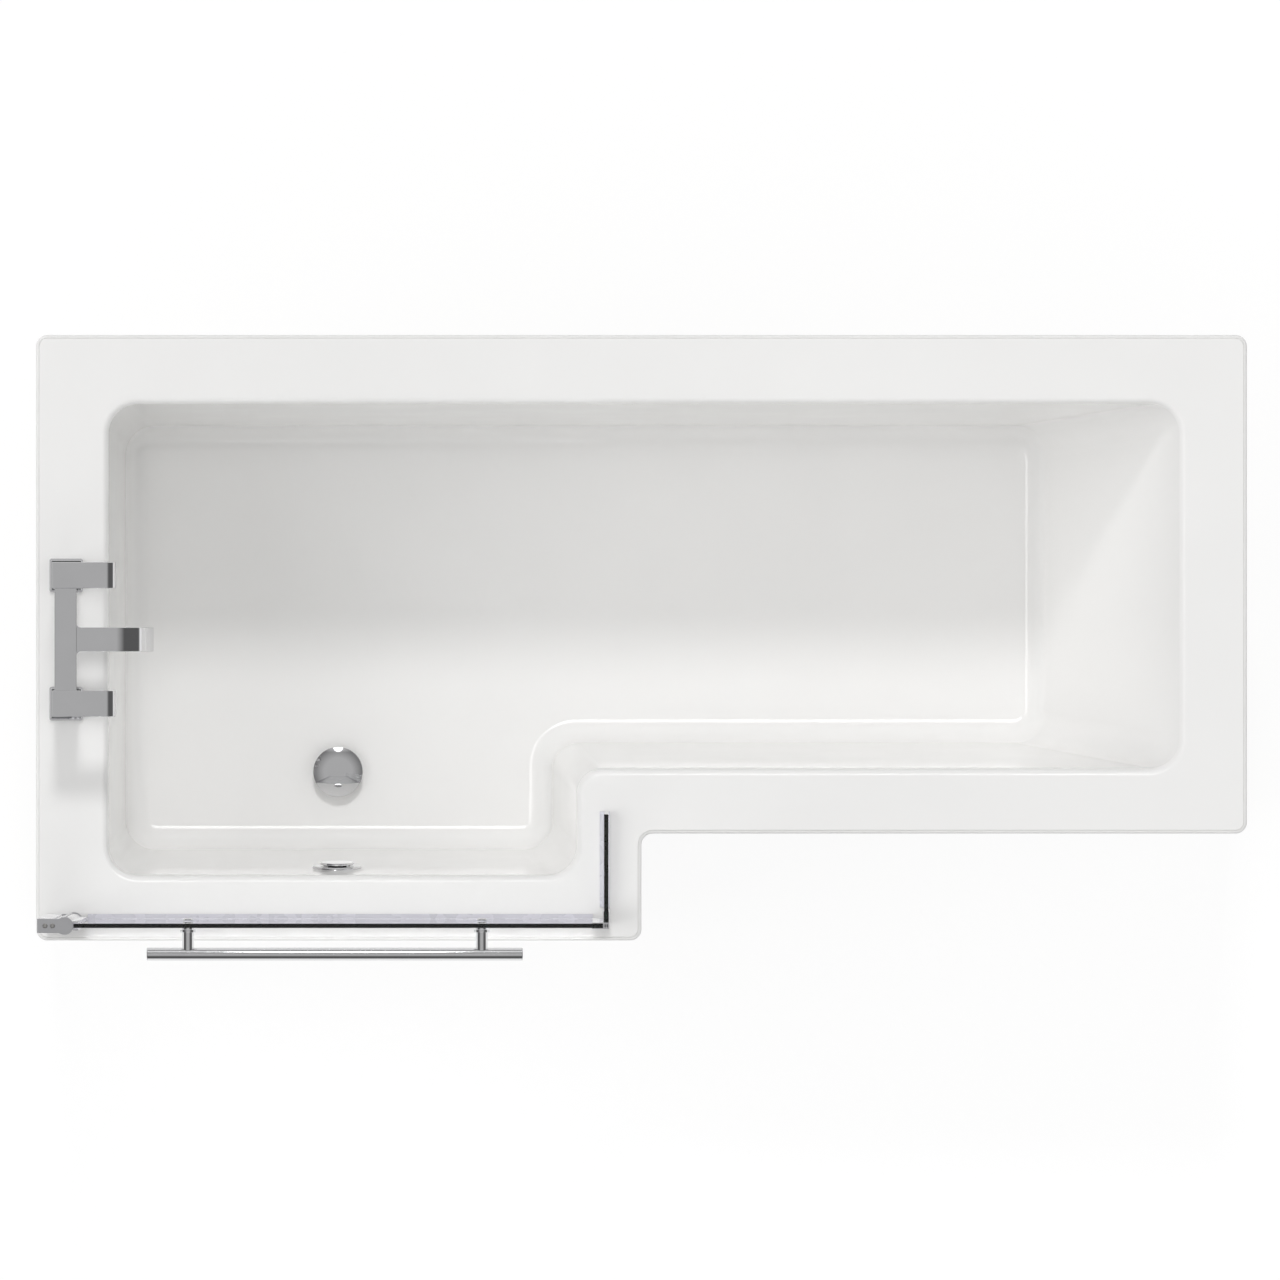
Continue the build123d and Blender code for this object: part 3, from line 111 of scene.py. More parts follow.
def skin(rows, slot=0, wrapped=False):
    """A closed surface through rings of points: an array of rings, ring points and xyz. The rings turn
    anticlockwise about the way they climb, and a flat face closes each end unless the rings wrap."""
    rows = np.asarray(rows, float)
    count, around = rows.shape[:2]
    sides = quads(count, around, wrapped)
    slots = np.repeat(np.broadcast_to(np.asarray(slot), (count if wrapped else count - 1,)), around)
    first, last = np.arange(around)[::-1], np.arange(around) + (count - 1) * around
    ends = [] if wrapped else [(first, slots[0]), (last, slots[-1])]
    return rows.reshape(-1, 3), sides, slots, ends


def build(name, skins, materials, body, nodes=(), crease=32.0):
    """Joins skins into one mesh object of millimetres turned to metres, smooth up to the crease angle."""
    points, faces, slots, start = [], [], [], 0
    for vertices, sides, side_slots, ends in skins:
        points.append(vertices)
        faces += (sides + start).tolist() + [(end + start).tolist() for end, _ in ends]
        slots += side_slots.tolist() + [slot_of_end for _, slot_of_end in ends]
        start += len(vertices)
    mesh = bpy.data.meshes.new(name)
    mesh.from_pydata((np.concatenate(points) * MM).tolist(), [], faces)
    mesh.polygons.foreach_set("material_index", np.array(slots, np.int32))
    mesh.polygons.foreach_set("use_smooth", np.ones(len(faces), bool))
    mesh.set_sharp_from_angle(angle=np.radians(crease))
    for material in materials:
        mesh.materials.append(material)
    piece = bpy.data.objects.new(name, mesh)
    bpy.context.scene.collection.objects.link(piece)
    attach(piece, body)
    if nodes:
        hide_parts(*nodes)
    return piece


def pierced(outline, middle, way, radius, steps=64):
    """A flat face with a round hole. The hole is middle + r (u cos t + v sin t); the outline's corners
    and the hole's are joined by triangles, and those with all three corners on the hole are its space.
    Gives the hole's corners and the triangles, which count the outline's corners first."""
    u, v, _ = basis(way)
    t = np.linspace(0, 2 * np.pi, steps, endpoint=False)[:, None]
    circle = middle + radius * (u * np.cos(t) + v * np.sin(t))
    flat = np.concatenate([outline, circle]) - middle
    flat = np.stack([flat @ u, flat @ v], -1)
    count = len(outline)
    near, far = np.arange(count), count + np.arange(steps)
    edges = np.concatenate([np.stack([ring, np.roll(ring, -1)], -1) for ring in (near, far)])
    joined = delaunay_2d_cdt([Vector(point) for point in flat], edges.tolist(), [], 1, 1e-6)
    origins = np.array([origin[0] for origin in joined[3]])
    triangles = origins[np.array(joined[2])]
    return circle, triangles[(triangles < count).any(axis=1)]


def pierced_skin(rows, slot, holes):
    """A skin with round holes through its sheet. Each hole names the outline on the side that its way
    points out of, the outline on the other side, the side faces that both take the place of, its middle,
    way, depth and radius. A bore joins the two circles."""
    points, sides, slots, _ = skin(rows, slot)
    kept, faces, bores = np.ones(len(sides), bool), [], []
    for near, far, gone, middle, way, depth, radius in holes:
        kept[gone] = False
        rings = []
        for outline, origin, side in ((near, middle, 0), (far, middle - way * depth, 1)):
            circle, triangles = pierced(points[outline], origin, way, radius)
            ring = len(points) + np.arange(len(circle))
            points = np.concatenate([points, circle])
            triangles = np.concatenate([outline, ring])[triangles]
            faces += [(triangle, side) for triangle in (triangles[:, ::-1] if side else triangles)]
            rings.append(ring)
        after = [np.roll(ring, -1) for ring in rings]
        bores.append(np.stack([rings[0], after[0], after[1], rings[1]], -1))
    bores = np.concatenate(bores)
    sides, slots = np.concatenate([sides[kept], bores]), np.concatenate([slots[kept], np.ones(len(bores), int)])
    return points, sides, slots, faces


def square_loops(corners, radii, steps=8, near=0.5):
    """Rings round polygons of right angles. Each corner c, with unit ways a and b to its neighbours,
    becomes the arc c + r(a + b) - r(b cos t + a sin t), with one point near on the straight each side."""
    a = np.roll(corners, 1, axis=-2) - corners
    b = np.roll(corners, -1, axis=-2) - corners
    a = a / np.linalg.norm(a, axis=-1, keepdims=True)
    b = b / np.linalg.norm(b, axis=-1, keepdims=True)
    r = np.broadcast_to(radii, corners.shape[:-1])[..., None]
    t = np.linspace(0, np.pi / 2, steps + 1)[:, None]
    middle = (corners + r * (a + b))[..., None, :]
    arc = middle - r[..., None] * (b[..., None, :] * np.cos(t) + a[..., None, :] * np.sin(t))
    before = (corners + (r + near) * a)[..., None, :]
    after = (corners + (r + near) * b)[..., None, :]
    loop = np.concatenate([before, arc, after], axis=-2)
    return loop.reshape(*corners.shape[:-2], -1, 2)


def rounded_profile(low, high, edge, steps=4, near=0.4):
    """Stations (inset, height) of an upright wall whose low and high edges are quarter rounds."""
    t = np.linspace(0, np.pi / 2, steps + 1)
    up = np.stack([edge * (1 - np.sin(t)), low + edge * (1 - np.cos(t))], -1)
    down = np.stack([edge * (1 - np.cos(t)), high - edge * (1 - np.sin(t))], -1)
    ends = [[(edge + near, low)], up, [(0, low + edge + near), (0, high - edge - near)], down, [(edge + near, high)]]
    return np.concatenate(ends)


def block(low, high, corner, edge=0.0, steps=5, stations=None):
    """A box with rounded uprights and rounded rims: at each station the rectangle is drawn in by the
    station's inset, and its corner radius with it. Stations of its own give it another wall."""
    low, high = np.array(low, float), np.array(high, float)
    stations = rounded_profile(low[2], high[2], edge) if stations is None else np.array(stations)
    inset = stations[:, 0, None, None]
    signs = np.array([(-1, -1), (1, -1), (1, 1), (-1, 1)])
    middle, half = (low + high)[:2] / 2, (high - low)[:2] / 2
    corners = middle + signs * (half - inset)
    radii = np.maximum(corner - inset[:, :, 0], 0.05)
    loops = square_loops(corners, radii, steps, near=0.3)
    heights = np.broadcast_to(stations[:, 1, None, None], loops.shape[:2] + (1,))
    return skin(np.concatenate([loops, heights], -1))


def basis(axis):
    """Two unit ways u and v with u x v along the axis."""
    w = np.asarray(axis, float) / np.linalg.norm(axis)
    u = X if abs(w[0]) < 0.9 else Y
    u = u - w * (u @ w)
    u = u / np.linalg.norm(u)
    return u, np.cross(w, u), w


def turned(profile, origin, axis=Z, steps=64, wrapped=False, slot=0):
    """A turned surface: origin + r (u cos t + v sin t) + h w for each (r, h) of the profile."""
    u, v, w = basis(axis)
    profile = np.asarray(profile, float)
    t = np.linspace(0, 2 * np.pi, steps, endpoint=False)[None, :, None]
    r, h = profile[:, 0, None, None], profile[:, 1, None, None]
    return skin(np.asarray(origin) + r * (np.cos(t) * u + np.sin(t) * v) + h * w, slot, wrapped)


def disc_profile(radius, low, high, edge_low=0.4, edge_high=0.4, steps=4):
    """A turned disc's profile: centre, low face, rounded low edge, wall, rounded high edge, high face."""
    t = np.linspace(0, np.pi / 2, steps + 1)
    up = np.stack([radius - edge_low * (1 - np.sin(t)), low + edge_low * (1 - np.cos(t))], -1)
    down = np.stack([radius - edge_high * (1 - np.cos(t)), high - edge_high * (1 - np.sin(t))], -1)
    start, end = [(radius * 0.2, low), (up[0, 0] - 0.2, low)], [(down[-1, 0] - 0.2, high), (radius * 0.2, high)]
    return np.concatenate([start, up, down, end])


def ring_profile(inner, outer, low, high, edge=0.3):
    """A turned ring's closed profile: up the outside, in over the top and down the bore, edges bevelled."""
    return [
        (outer - edge, low), (outer, low + edge), (outer, high - edge), (outer - edge, high),
        (inner + edge, high), (inner, high - edge), (inner, low + edge), (inner + edge, low),
    ]


def swept(origins, sides, ups, widths, heights, corner, steps=5):
    """A rounded rectangle carried along a path: origin + side p + up q for each point (p, q) of the
    section, whose width and height may change from station to station."""
    signs = np.array([(-1, -1), (1, -1), (1, 1), (-1, 1)]) / 2
    sizes = np.stack(np.broadcast_arrays(widths, heights), -1)[:, None, :]
    loops = square_loops(signs * sizes, np.broadcast_to(corner, (len(origins), 1)), steps, near=0.3)
    return skin(
        origins[:, None, :] + sides[:, None, :] * loops[..., :1] + ups[:, None, :] * loops[..., 1:]
    )


def bath_corners(margins):
    """Corners of the L for margins of the six sides: wide front, step, narrow front, right, back, left."""
    front, step, notch, right, back, left = np.moveaxis(np.asarray(margins, float), -1, 0)
    x_0, x_1, x_2 = X_LEFT + left, X_STEP - step, X_RIGHT - right
    y_0, y_1, y_2 = Y_FRONT + front, Y_NOTCH + notch, Y_BACK - back
    points = [(x_0, y_0), (x_1, y_0), (x_1, y_1), (x_2, y_1), (x_2, y_2), (x_0, y_2)]
    return np.stack([np.stack(p, -1) for p in points], -2)


def bath_rings(margins, heights, outer, notch, steps):
    """Rings of the L with each side's own margin and height; round a corner the height passes from
    one side's to the next in step with the turn."""
    radii = np.stack([outer[:, k] if k != 2 else notch for k in range(6)], -1)
    loops = square_loops(bath_corners(margins), radii, steps, near=1.5)
    share = np.concatenate([[0], np.linspace(0, 1, steps + 1), [1]])
    before = np.roll(heights, 1, axis=1)[:, :, None]
    z = (before + (heights[:, :, None] - before) * share).reshape(len(heights), -1, 1)
    return np.concatenate([loops, z], -1)


def basin_rings(grow, steps):
    """The basin's skin from floor to rim, pushed outwards by grow. Each wall leans by an angle a; the
    floor roll is the arc margin - R sin p, floor + R (1 - cos p) up to p = 90 - a, and the mouth roll
    is rim + r cos q, top - r + r sin q from q = a to 90."""
    a = np.arctan(SIDE_LEANS / BASIN_DEPTH)
    tangent = MOUTH_ROLL * np.tan((np.pi / 2 - a) / 2)
    top, floor = RIM_TOP - grow, FLOOR_TOP - grow

    def wall(height):
        return SIDE_RIMS + tangent + np.tan(a) * (RIM_TOP - height) - grow / np.cos(a)

    roll, mouth = FLOOR_ROLL + grow, MOUTH_ROLL - grow
    foot = wall(floor)
    foot_tangent = roll * np.tan((np.pi / 2 - a) / 2)
    s = np.linspace(0, 1, 15)[:, None]
    turn = s * (np.pi / 2 - a)
    roll_margin = foot + foot_tangent - roll * np.sin(turn)
    roll_height = floor + roll * (1 - np.cos(turn))
    angle = a + s * (np.pi / 2 - a)
    mouth_margin = SIDE_RIMS + mouth * np.cos(angle)
    mouth_height = top - mouth + mouth * np.sin(angle)
    low, high = roll_height[-1] + 1.5 * np.cos(a), mouth_height[0] - 1.5 * np.cos(a)
    rise = np.linspace(0, 1, 9)[:, None]
    wall_height = low + (high - low) * rise
    margins = [foot[None] + foot_tangent + 1.5, roll_margin, wall(wall_height), mouth_margin, SIDE_RIMS[None] - 1.5]
    flat = np.ones((1, 6))
    heights = [flat * floor, roll_height, wall_height, mouth_height, flat * top]
    margins, heights = np.concatenate(margins), np.concatenate(heights)
    shift = margins - wall(heights)
    corner_shift = (shift + np.roll(shift, 1, axis=1)) / 2
    outer = np.maximum(WALL_CORNER + grow - corner_shift, 1)
    notch = STEP_CORNER - grow + corner_shift[:, 2]
    return bath_rings(margins, heights, outer, notch, steps)


def rim_rings(stations, steps):
    """Rings of the bath's outer outline for (margin, height) stations, corners drawn in with them."""
    stations = np.asarray(stations, float)
    margins = np.repeat(stations[:, :1], 6, axis=1)
    heights = np.repeat(stations[:, 1:], 6, axis=1)
    return bath_rings(margins, heights, OUTER_CORNER - margins, OUTER_CORNER + margins[:, 0], steps)


def front_path(offsets, steps=10):
    """The open side's line, drawn in by each offset: from the tap end round the step to the backrest
    end. Each turn is a quarter arc, as in square_loops."""
    offsets = np.asarray(offsets, float)
    margins = np.repeat(offsets[:, None], 6, axis=1)
    corners = bath_corners(margins)[:, :4]
    corners[:, 0, 0], corners[:, 3, 0] = X_LEFT + OUTER_CORNER, X_RIGHT - OUTER_CORNER
    radii = np.stack([np.maximum(OUTER_CORNER - offsets, 4.0), OUTER_CORNER + offsets], -1)
    a = corners[:, 0:2] - corners[:, 1:3]
    b = corners[:, 2:4] - corners[:, 1:3]
    a = a / np.linalg.norm(a, axis=-1, keepdims=True)
    b = b / np.linalg.norm(b, axis=-1, keepdims=True)
    r = radii[..., None]
    t = np.linspace(0, np.pi / 2, steps + 1)[:, None]
    c = corners[:, 1:3]
    arc = (c + r * (a + b))[..., None, :] - r[..., None] * (
        b[..., None, :] * np.cos(t) + a[..., None, :] * np.sin(t)
    )
    near = (c + (r + 1.5) * a)[..., None, :], (c + (r + 1.5) * b)[..., None, :]
    turns = np.concatenate([near[0], arc, near[1]], axis=-2).reshape(len(offsets), -1, 2)
    return np.concatenate([corners[:, :1], turns, corners[:, 3:]], axis=1)


class Nodes:
    """A material's node tree, with short calls for the nodes that the finishes share."""

    def __init__(self, name):
        self.material = bpy.data.materials.new(name)
        self.material.use_nodes = True
        self.tree = self.material.node_tree
        self.shader = self.tree.nodes["Principled BSDF"]
        self.place = self.add("ShaderNodeTexCoord").outputs["Object"]

    def add(self, kind, **settings):
        node = self.tree.nodes.new(kind)
        for key, value in settings.items():
            setattr(node, key, value)
        return node

    def link(self, output, socket):
        self.tree.links.new(output, socket)

    def stretch(self, scale):
        """Object coordinates scaled per axis, so that a pattern is drawn out along the small ones."""
        mapping = self.add("ShaderNodeMapping")
        mapping.inputs["Scale"].default_value = scale
        self.link(self.place, mapping.inputs["Vector"])
        return mapping.outputs["Vector"]

    def noise(self, scale, detail=2.0, place=None, roughness=0.5):
        node = self.add("ShaderNodeTexNoise")
        node.inputs["Scale"].default_value = scale
        node.inputs["Detail"].default_value = detail
        node.inputs["Roughness"].default_value = roughness
        self.link(place or self.place, node.inputs["Vector"])
        return node.outputs["Fac"]

    def spread(self, value, low, high, from_low=0.3, from_high=0.7):
        """A texture value mapped from one range to another."""
        node = self.add("ShaderNodeMapRange")
        node.inputs["From Min"].default_value = from_low
        node.inputs["From Max"].default_value = from_high
        node.inputs["To Min"].default_value = low
        node.inputs["To Max"].default_value = high
        self.link(value, node.inputs["Value"])
        return node.outputs["Result"]

    def colours(self, value, *stops):
        """A colour ramp: stops of (position, colour)."""
        ramp = self.add("ShaderNodeValToRGB")
        elements = ramp.color_ramp.elements
        while len(elements) < len(stops):
            elements.new(0.5)
        for element, (position, colour) in zip(elements, stops):
            element.position = position
            element.color = (*colour, 1)
        self.link(value, ramp.inputs["Fac"])
        self.link(ramp.outputs["Color"], self.shader.inputs["Base Color"])

    def bump(self, value, strength, distance):
        node = self.add("ShaderNodeBump")
        node.inputs["Strength"].default_value = strength
        node.inputs["Distance"].default_value = distance
        self.link(value, node.inputs["Height"])
        self.link(node.outputs["Normal"], self.shader.inputs["Normal"])

    def set(self, **values):
        for key, value in values.items():
            self.shader.inputs[key.replace("_", " ")].default_value = value
        return self


def tint(colour, share):
    """A colour made darker or lighter by a share."""
    return tuple(min(channel * share, 1.0) for channel in colour)


def acrylic_finish(name, colour, roughness):
    """High gloss sheet: a faint cloudiness in colour and gloss, and a very fine peel in the surface."""
    n = Nodes(name).set(IOR=1.49)
    cloud = n.noise(3.0, 3.0)
    n.colours(cloud, (0.3, tint(colour, 0.985)), (0.7, colour))
    n.link(n.spread(n.noise(11.0), roughness * 0.8, roughness * 1.3), n.shader.inputs["Roughness"])
    n.bump(n.noise(260.0, 2.0), 0.004, 0.0002)
    return n.material


def backing_finish(name):
    """Resin and chopped glass fibre sprayed on the back of the sheet: pale strands in a cloudy coat."""
    n = Nodes(name).set(Roughness=0.55, IOR=1.5)
    strands = n.add("ShaderNodeTexVoronoi", feature="DISTANCE_TO_EDGE")
    strands.inputs["Scale"].default_value = 190.0
    warp = n.add("ShaderNodeVectorMath", operation="MULTIPLY_ADD")
    wander = n.add("ShaderNodeTexNoise")
    wander.inputs["Scale"].default_value = 35.0
    n.link(n.place, wander.inputs["Vector"])
    n.link(wander.outputs["Color"], warp.inputs[0])
    warp.inputs[1].default_value = (0.05, 0.05, 0.05)
    n.link(n.place, warp.inputs[2])
    n.link(warp.outputs["Vector"], strands.inputs["Vector"])
    mix = n.add("ShaderNodeMath", operation="ADD")
    n.link(n.spread(strands.outputs["Distance"], 0.0, 0.5, 0.0, 0.25), mix.inputs[0])
    n.link(n.spread(n.noise(9.0, 4.0), 0.0, 0.5), mix.inputs[1])
    n.colours(mix.outputs["Value"], (0.15, (0.46, 0.45, 0.4)), (0.6, (0.6, 0.59, 0.54)), (0.9, (0.7, 0.7, 0.66)))
    n.bump(mix.outputs["Value"], 0.5, 0.0012)
    return n.material


def metal_finish(name, colour, roughness, spread, ripple, grain=None, grain_depth=0.0):
    """Plated or polished metal: gloss that varies in soft patches, with a fine ripple or a drawn grain."""
    n = Nodes(name).set(Metallic=1.0)
    n.colours(n.noise(20.0, 3.0), (0.3, tint(colour, 0.96)), (0.7, colour))
    n.link(n.spread(n.noise(45.0, 4.0), roughness, roughness + spread), n.shader.inputs["Roughness"])
    if grain:
        n.bump(n.noise(1.0, 3.0, n.stretch(grain)), grain_depth, 0.0004)
    else:
        n.bump(n.noise(120.0, 2.0), ripple, 0.0003)
    return n.material


def zinc_finish(name, colour, crystal):
    """Galvanised steel: flat crystals, each its own shade, and a dull grey bloom over them."""
    n = Nodes(name).set(Metallic=1.0)
    spangle = n.add("ShaderNodeTexVoronoi")
    spangle.inputs["Scale"].default_value = crystal
    n.link(n.place, spangle.inputs["Vector"])
    split = n.add("ShaderNodeSeparateColor")
    n.link(spangle.outputs["Color"], split.inputs["Color"])
    n.colours(split.outputs[0], (0.0, tint(colour, 0.78)), (0.6, colour), (1.0, tint(colour, 1.12)))
    n.link(n.spread(split.outputs[1], 0.35, 0.55, 0, 1), n.shader.inputs["Roughness"])
    n.bump(n.noise(300.0, 3.0), 0.08, 0.0003)
    return n.material


def plastic_finish(name, colour, roughness, grain, depth):
    """Moulded plastic or rubber: a spark-eroded grain and small changes of shade and gloss."""
    n = Nodes(name)
    n.colours(n.noise(25.0, 3.0), (0.3, tint(colour, 0.93)), (0.7, colour))
    n.link(n.spread(n.noise(60.0), roughness * 0.85, roughness * 1.15), n.shader.inputs["Roughness"])
    n.bump(n.noise(grain, 2.0), depth, 0.0003)
    return n.material


def vinyl_finish(name, colour):
    """Clear flexible vinyl with a lavender cast, a little cloudy all through."""
    n = Nodes(name).set(IOR=1.45, Transmission_Weight=0.08)
    n.colours(n.noise(30.0, 2.0), (0.3, tint(colour, 0.95)), (0.7, colour))
    n.link(n.spread(n.noise(40.0), 0.2, 0.32), n.shader.inputs["Roughness"])
    return n.material


def glass_finish(name, density, colour):
    """Clear toughened glass: clean through its thickness, and dark where it is looked through edgewise,
    because the sheet itself takes up light along the way."""
    n = Nodes(name).set(IOR=1.5, Transmission_Weight=1.0, Base_Color=(1, 1, 1, 1))
    n.link(n.spread(n.noise(1.5, 3.0), 0.0, 0.012), n.shader.inputs["Roughness"])
    volume = n.add("ShaderNodeVolumeAbsorption")
    volume.inputs["Density"].default_value = density
    volume.inputs["Color"].default_value = (*colour, 1)
    n.link(volume.outputs["Volume"], n.tree.nodes["Material Output"].inputs["Volume"])
    return n.material


def softwood_finish(name, along):
    """Planed pine: growth lines drawn out along one axis, darker late wood and a dry, open surface."""
    n = Nodes(name).set(IOR=1.45)
    scale = [38.0, 38.0, 38.0]
    scale[along] = 1.6
    place = n.stretch(tuple(scale))
    lines = n.noise(1.0, 4.0, place, 0.6)
    n.colours(lines, (0.3, (0.5, 0.33, 0.17)), (0.5, (0.68, 0.49, 0.29)), (0.7, (0.76, 0.6, 0.39)))
    n.link(n.spread(lines, 0.75, 0.55), n.shader.inputs["Roughness"])
    n.bump(n.noise(2.0, 4.0, place), 0.35, 0.0006)
    return n.material


def chipboard_finish(name):
    """Chipboard: pressed flakes of several shades, each cell of a fine pattern its own, and pitted."""
    n = Nodes(name).set(Roughness=0.8)
    flakes = n.add("ShaderNodeTexVoronoi")
    flakes.inputs["Scale"].default_value = 1.0
    n.link(n.stretch((260.0, 140.0, 420.0)), flakes.inputs["Vector"])
    split = n.add("ShaderNodeSeparateColor")
    n.link(flakes.outputs["Color"], split.inputs["Color"])
    n.colours(
        split.outputs[0], (0.0, (0.3, 0.19, 0.09)), (0.35, (0.5, 0.36, 0.2)), (0.75, (0.62, 0.47, 0.29)),
        (1.0, (0.7, 0.58, 0.38)),
    )
    n.bump(split.outputs[1], 0.4, 0.0005)
    return n.material


class BathSettings(bpy.types.PropertyGroup):
    """Finishes and sizes that a user may change before the bath is dressed."""

    acrylic: FloatVectorProperty(
        name="Acrylic", description="Colour of the bath and its panel", subtype="COLOR",
        default=(0.95, 0.945, 0.935), min=0, max=1,
    )
    acrylic_roughness: FloatProperty(
        name="Acrylic Roughness", description="How soft reflections are on the acrylic", subtype="FACTOR",
        default=0.07, min=0, max=1,
    )
    chrome: FloatVectorProperty(
        name="Chrome", description="Colour of the plated tap, waste and rail", subtype="COLOR",
        default=(0.74, 0.74, 0.75), min=0, max=1,
    )
    aluminium: FloatVectorProperty(
        name="Aluminium", description="Colour of the screen's profiles", subtype="COLOR",
        default=(0.72, 0.72, 0.74), min=0, max=1,
    )
    vinyl: FloatVectorProperty(
        name="Vinyl", description="Tint of the clear seals", subtype="COLOR",
        default=(0.86, 0.85, 0.92), min=0, max=1,
    )
    glass_density: FloatProperty(
        name="Glass Density", description="How much light the panes take up along a metre",
        default=14.0, min=0, max=50,
    )
    corner_steps: IntProperty(
        name="Corner Steps", description="Faces round each corner of the moulding", default=12, min=4, max=32,
    )


class StudioSettings(bpy.types.PropertyGroup):
    """Lamps, sky and camera of the plain studio."""

    back_light: FloatProperty(
        name="Back Light", description="Strength of the lamp over the long wall", default=0.85, min=0,
    )
    back_height: FloatProperty(
        name="Back Light Height", description="How far the lamp stands over the horizon",
        subtype="ANGLE", default=np.radians(49.0),
    )
    back_softness: FloatProperty(
        name="Back Light Softness", description="How wide the lamp looks from the bath",
        subtype="ANGLE", default=np.radians(9.0),
    )
    side_light: FloatProperty(
        name="Side Light", description="Strength of the wide lamp over the tap end", default=0.97, min=0,
    )
    side_height: FloatProperty(
        name="Side Light Height", description="How far that lamp stands over the horizon",
        subtype="ANGLE", default=np.radians(38.0),
    )
    side_softness: FloatProperty(
        name="Wide Light Softness", description="How wide the side, front and end lamps look from the bath",
        subtype="ANGLE", default=np.radians(50.0),
    )
    front_light: FloatProperty(
        name="Front Light", description="Strength of the wide lamp before the screen", default=0.47, min=0,
    )
    front_height: FloatProperty(
        name="Front Light Height", description="How far that lamp stands over the horizon",
        subtype="ANGLE", default=np.radians(35.0),
    )
    end_light: FloatProperty(
        name="End Light", description="Strength of the wide lamp beyond the backrest", default=0.33, min=0,
    )
    end_height: FloatProperty(
        name="End Light Height", description="How far that lamp stands over the horizon",
        subtype="ANGLE", default=np.radians(30.0),
    )
    glint_light: FloatProperty(
        name="Glint Light", description="Strength of the lamp that only the plug's dome mirrors",
        default=0.08, min=0,
    )
    line_light: FloatProperty(
        name="Line Light", description="Strength of the small lamps overhead that draw the moulding's highlights",
        default=0.16, min=0,
    )
    sky: FloatProperty(
        name="Sky", description="Strength of the light from all round", default=0.34, min=0,
    )
    sky_low: FloatProperty(
        name="Sky Below", description="Share of that light that comes from near the horizon",
        subtype="FACTOR", default=0.3, min=0, max=1,
    )
    band: FloatProperty(
        name="Band Tone", description="How dark the studio is between walls and ceiling, in mirrors",
        subtype="FACTOR", default=0.12, min=0, max=1,
    )
    zenith: FloatProperty(
        name="Overhead Tone", description="How bright the studio looks straight up, in mirrors",
        subtype="FACTOR", default=0.51, min=0, max=1,
    )
    screen: FloatProperty(
        name="Screen Tone", description="How bright the screen beyond the long wall looks, in mirrors",
        subtype="FACTOR", default=0.85, min=0, max=1,
    )
    camera_height: FloatProperty(
        name="Camera Height", description="How far the camera hangs over the rim", subtype="DISTANCE",
        unit="LENGTH", default=84.85, min=1,
    )
    camera_lens: FloatProperty(
        name="Camera Lens", description="Focal length of the camera in millimetres", default=1700.0, min=50,
    )


class Finishes:
    """The finishes of this bath, each made once and shared by its pieces."""

    made = {}

    @classmethod
    def get(cls, name):
        """The named finish, made on first use."""
        if name not in cls.made:
            cls.made[name] = cls.make(name)
        return cls.made[name]

    @staticmethod
    def make(name):
        look = bpy.context.scene.bath_settings
        chrome, aluminium = tuple(look.chrome), tuple(look.aluminium)
        makers = {
            "acrylic": lambda: acrylic_finish(name, tuple(look.acrylic), look.acrylic_roughness),
            "backing": lambda: backing_finish(name),
            "chrome": lambda: metal_finish(name, chrome, 0.035, 0.03, 0.004),
            "rail_chrome": lambda: metal_finish(name, chrome, 0.05, 0.03, 0.0004),
            "aluminium": lambda: metal_finish(name, aluminium, 0.16, 0.08, 0, (900.0, 900.0, 3.0), 0.12),
            "cap_metal": lambda: metal_finish(name, tint(aluminium, 0.95), 0.28, 0.08, 0.02),
            "stainless": lambda: metal_finish(name, (0.6, 0.59, 0.57), 0.24, 0.1, 0.05),
            "zinc_plate": lambda: metal_finish(name, (0.66, 0.66, 0.6), 0.3, 0.12, 0.06),
            "brass": lambda: metal_finish(name, (0.72, 0.52, 0.24), 0.22, 0.12, 0.05),
            "galvanised": lambda: zinc_finish(name, (0.56, 0.57, 0.58), 60.0),
            "black_rubber": lambda: plastic_finish(name, (0.022, 0.022, 0.023), 0.65, 900.0, 0.2),
            "black_plastic": lambda: plastic_finish(name, (0.028, 0.028, 0.03), 0.45, 600.0, 0.15),
            "pipework": lambda: plastic_finish(name, (0.74, 0.74, 0.72), 0.38, 500.0, 0.08),
            "vinyl": lambda: vinyl_finish(name, tuple(look.vinyl)),
            "glass": lambda: glass_finish(name, look.glass_density, (0.72, 0.78, 0.76)),
            "pine_x": lambda: softwood_finish(name, 0),
            "pine_y": lambda: softwood_finish(name, 1),
            "chipboard": lambda: chipboard_finish(name),
        }
        return makers[name]()


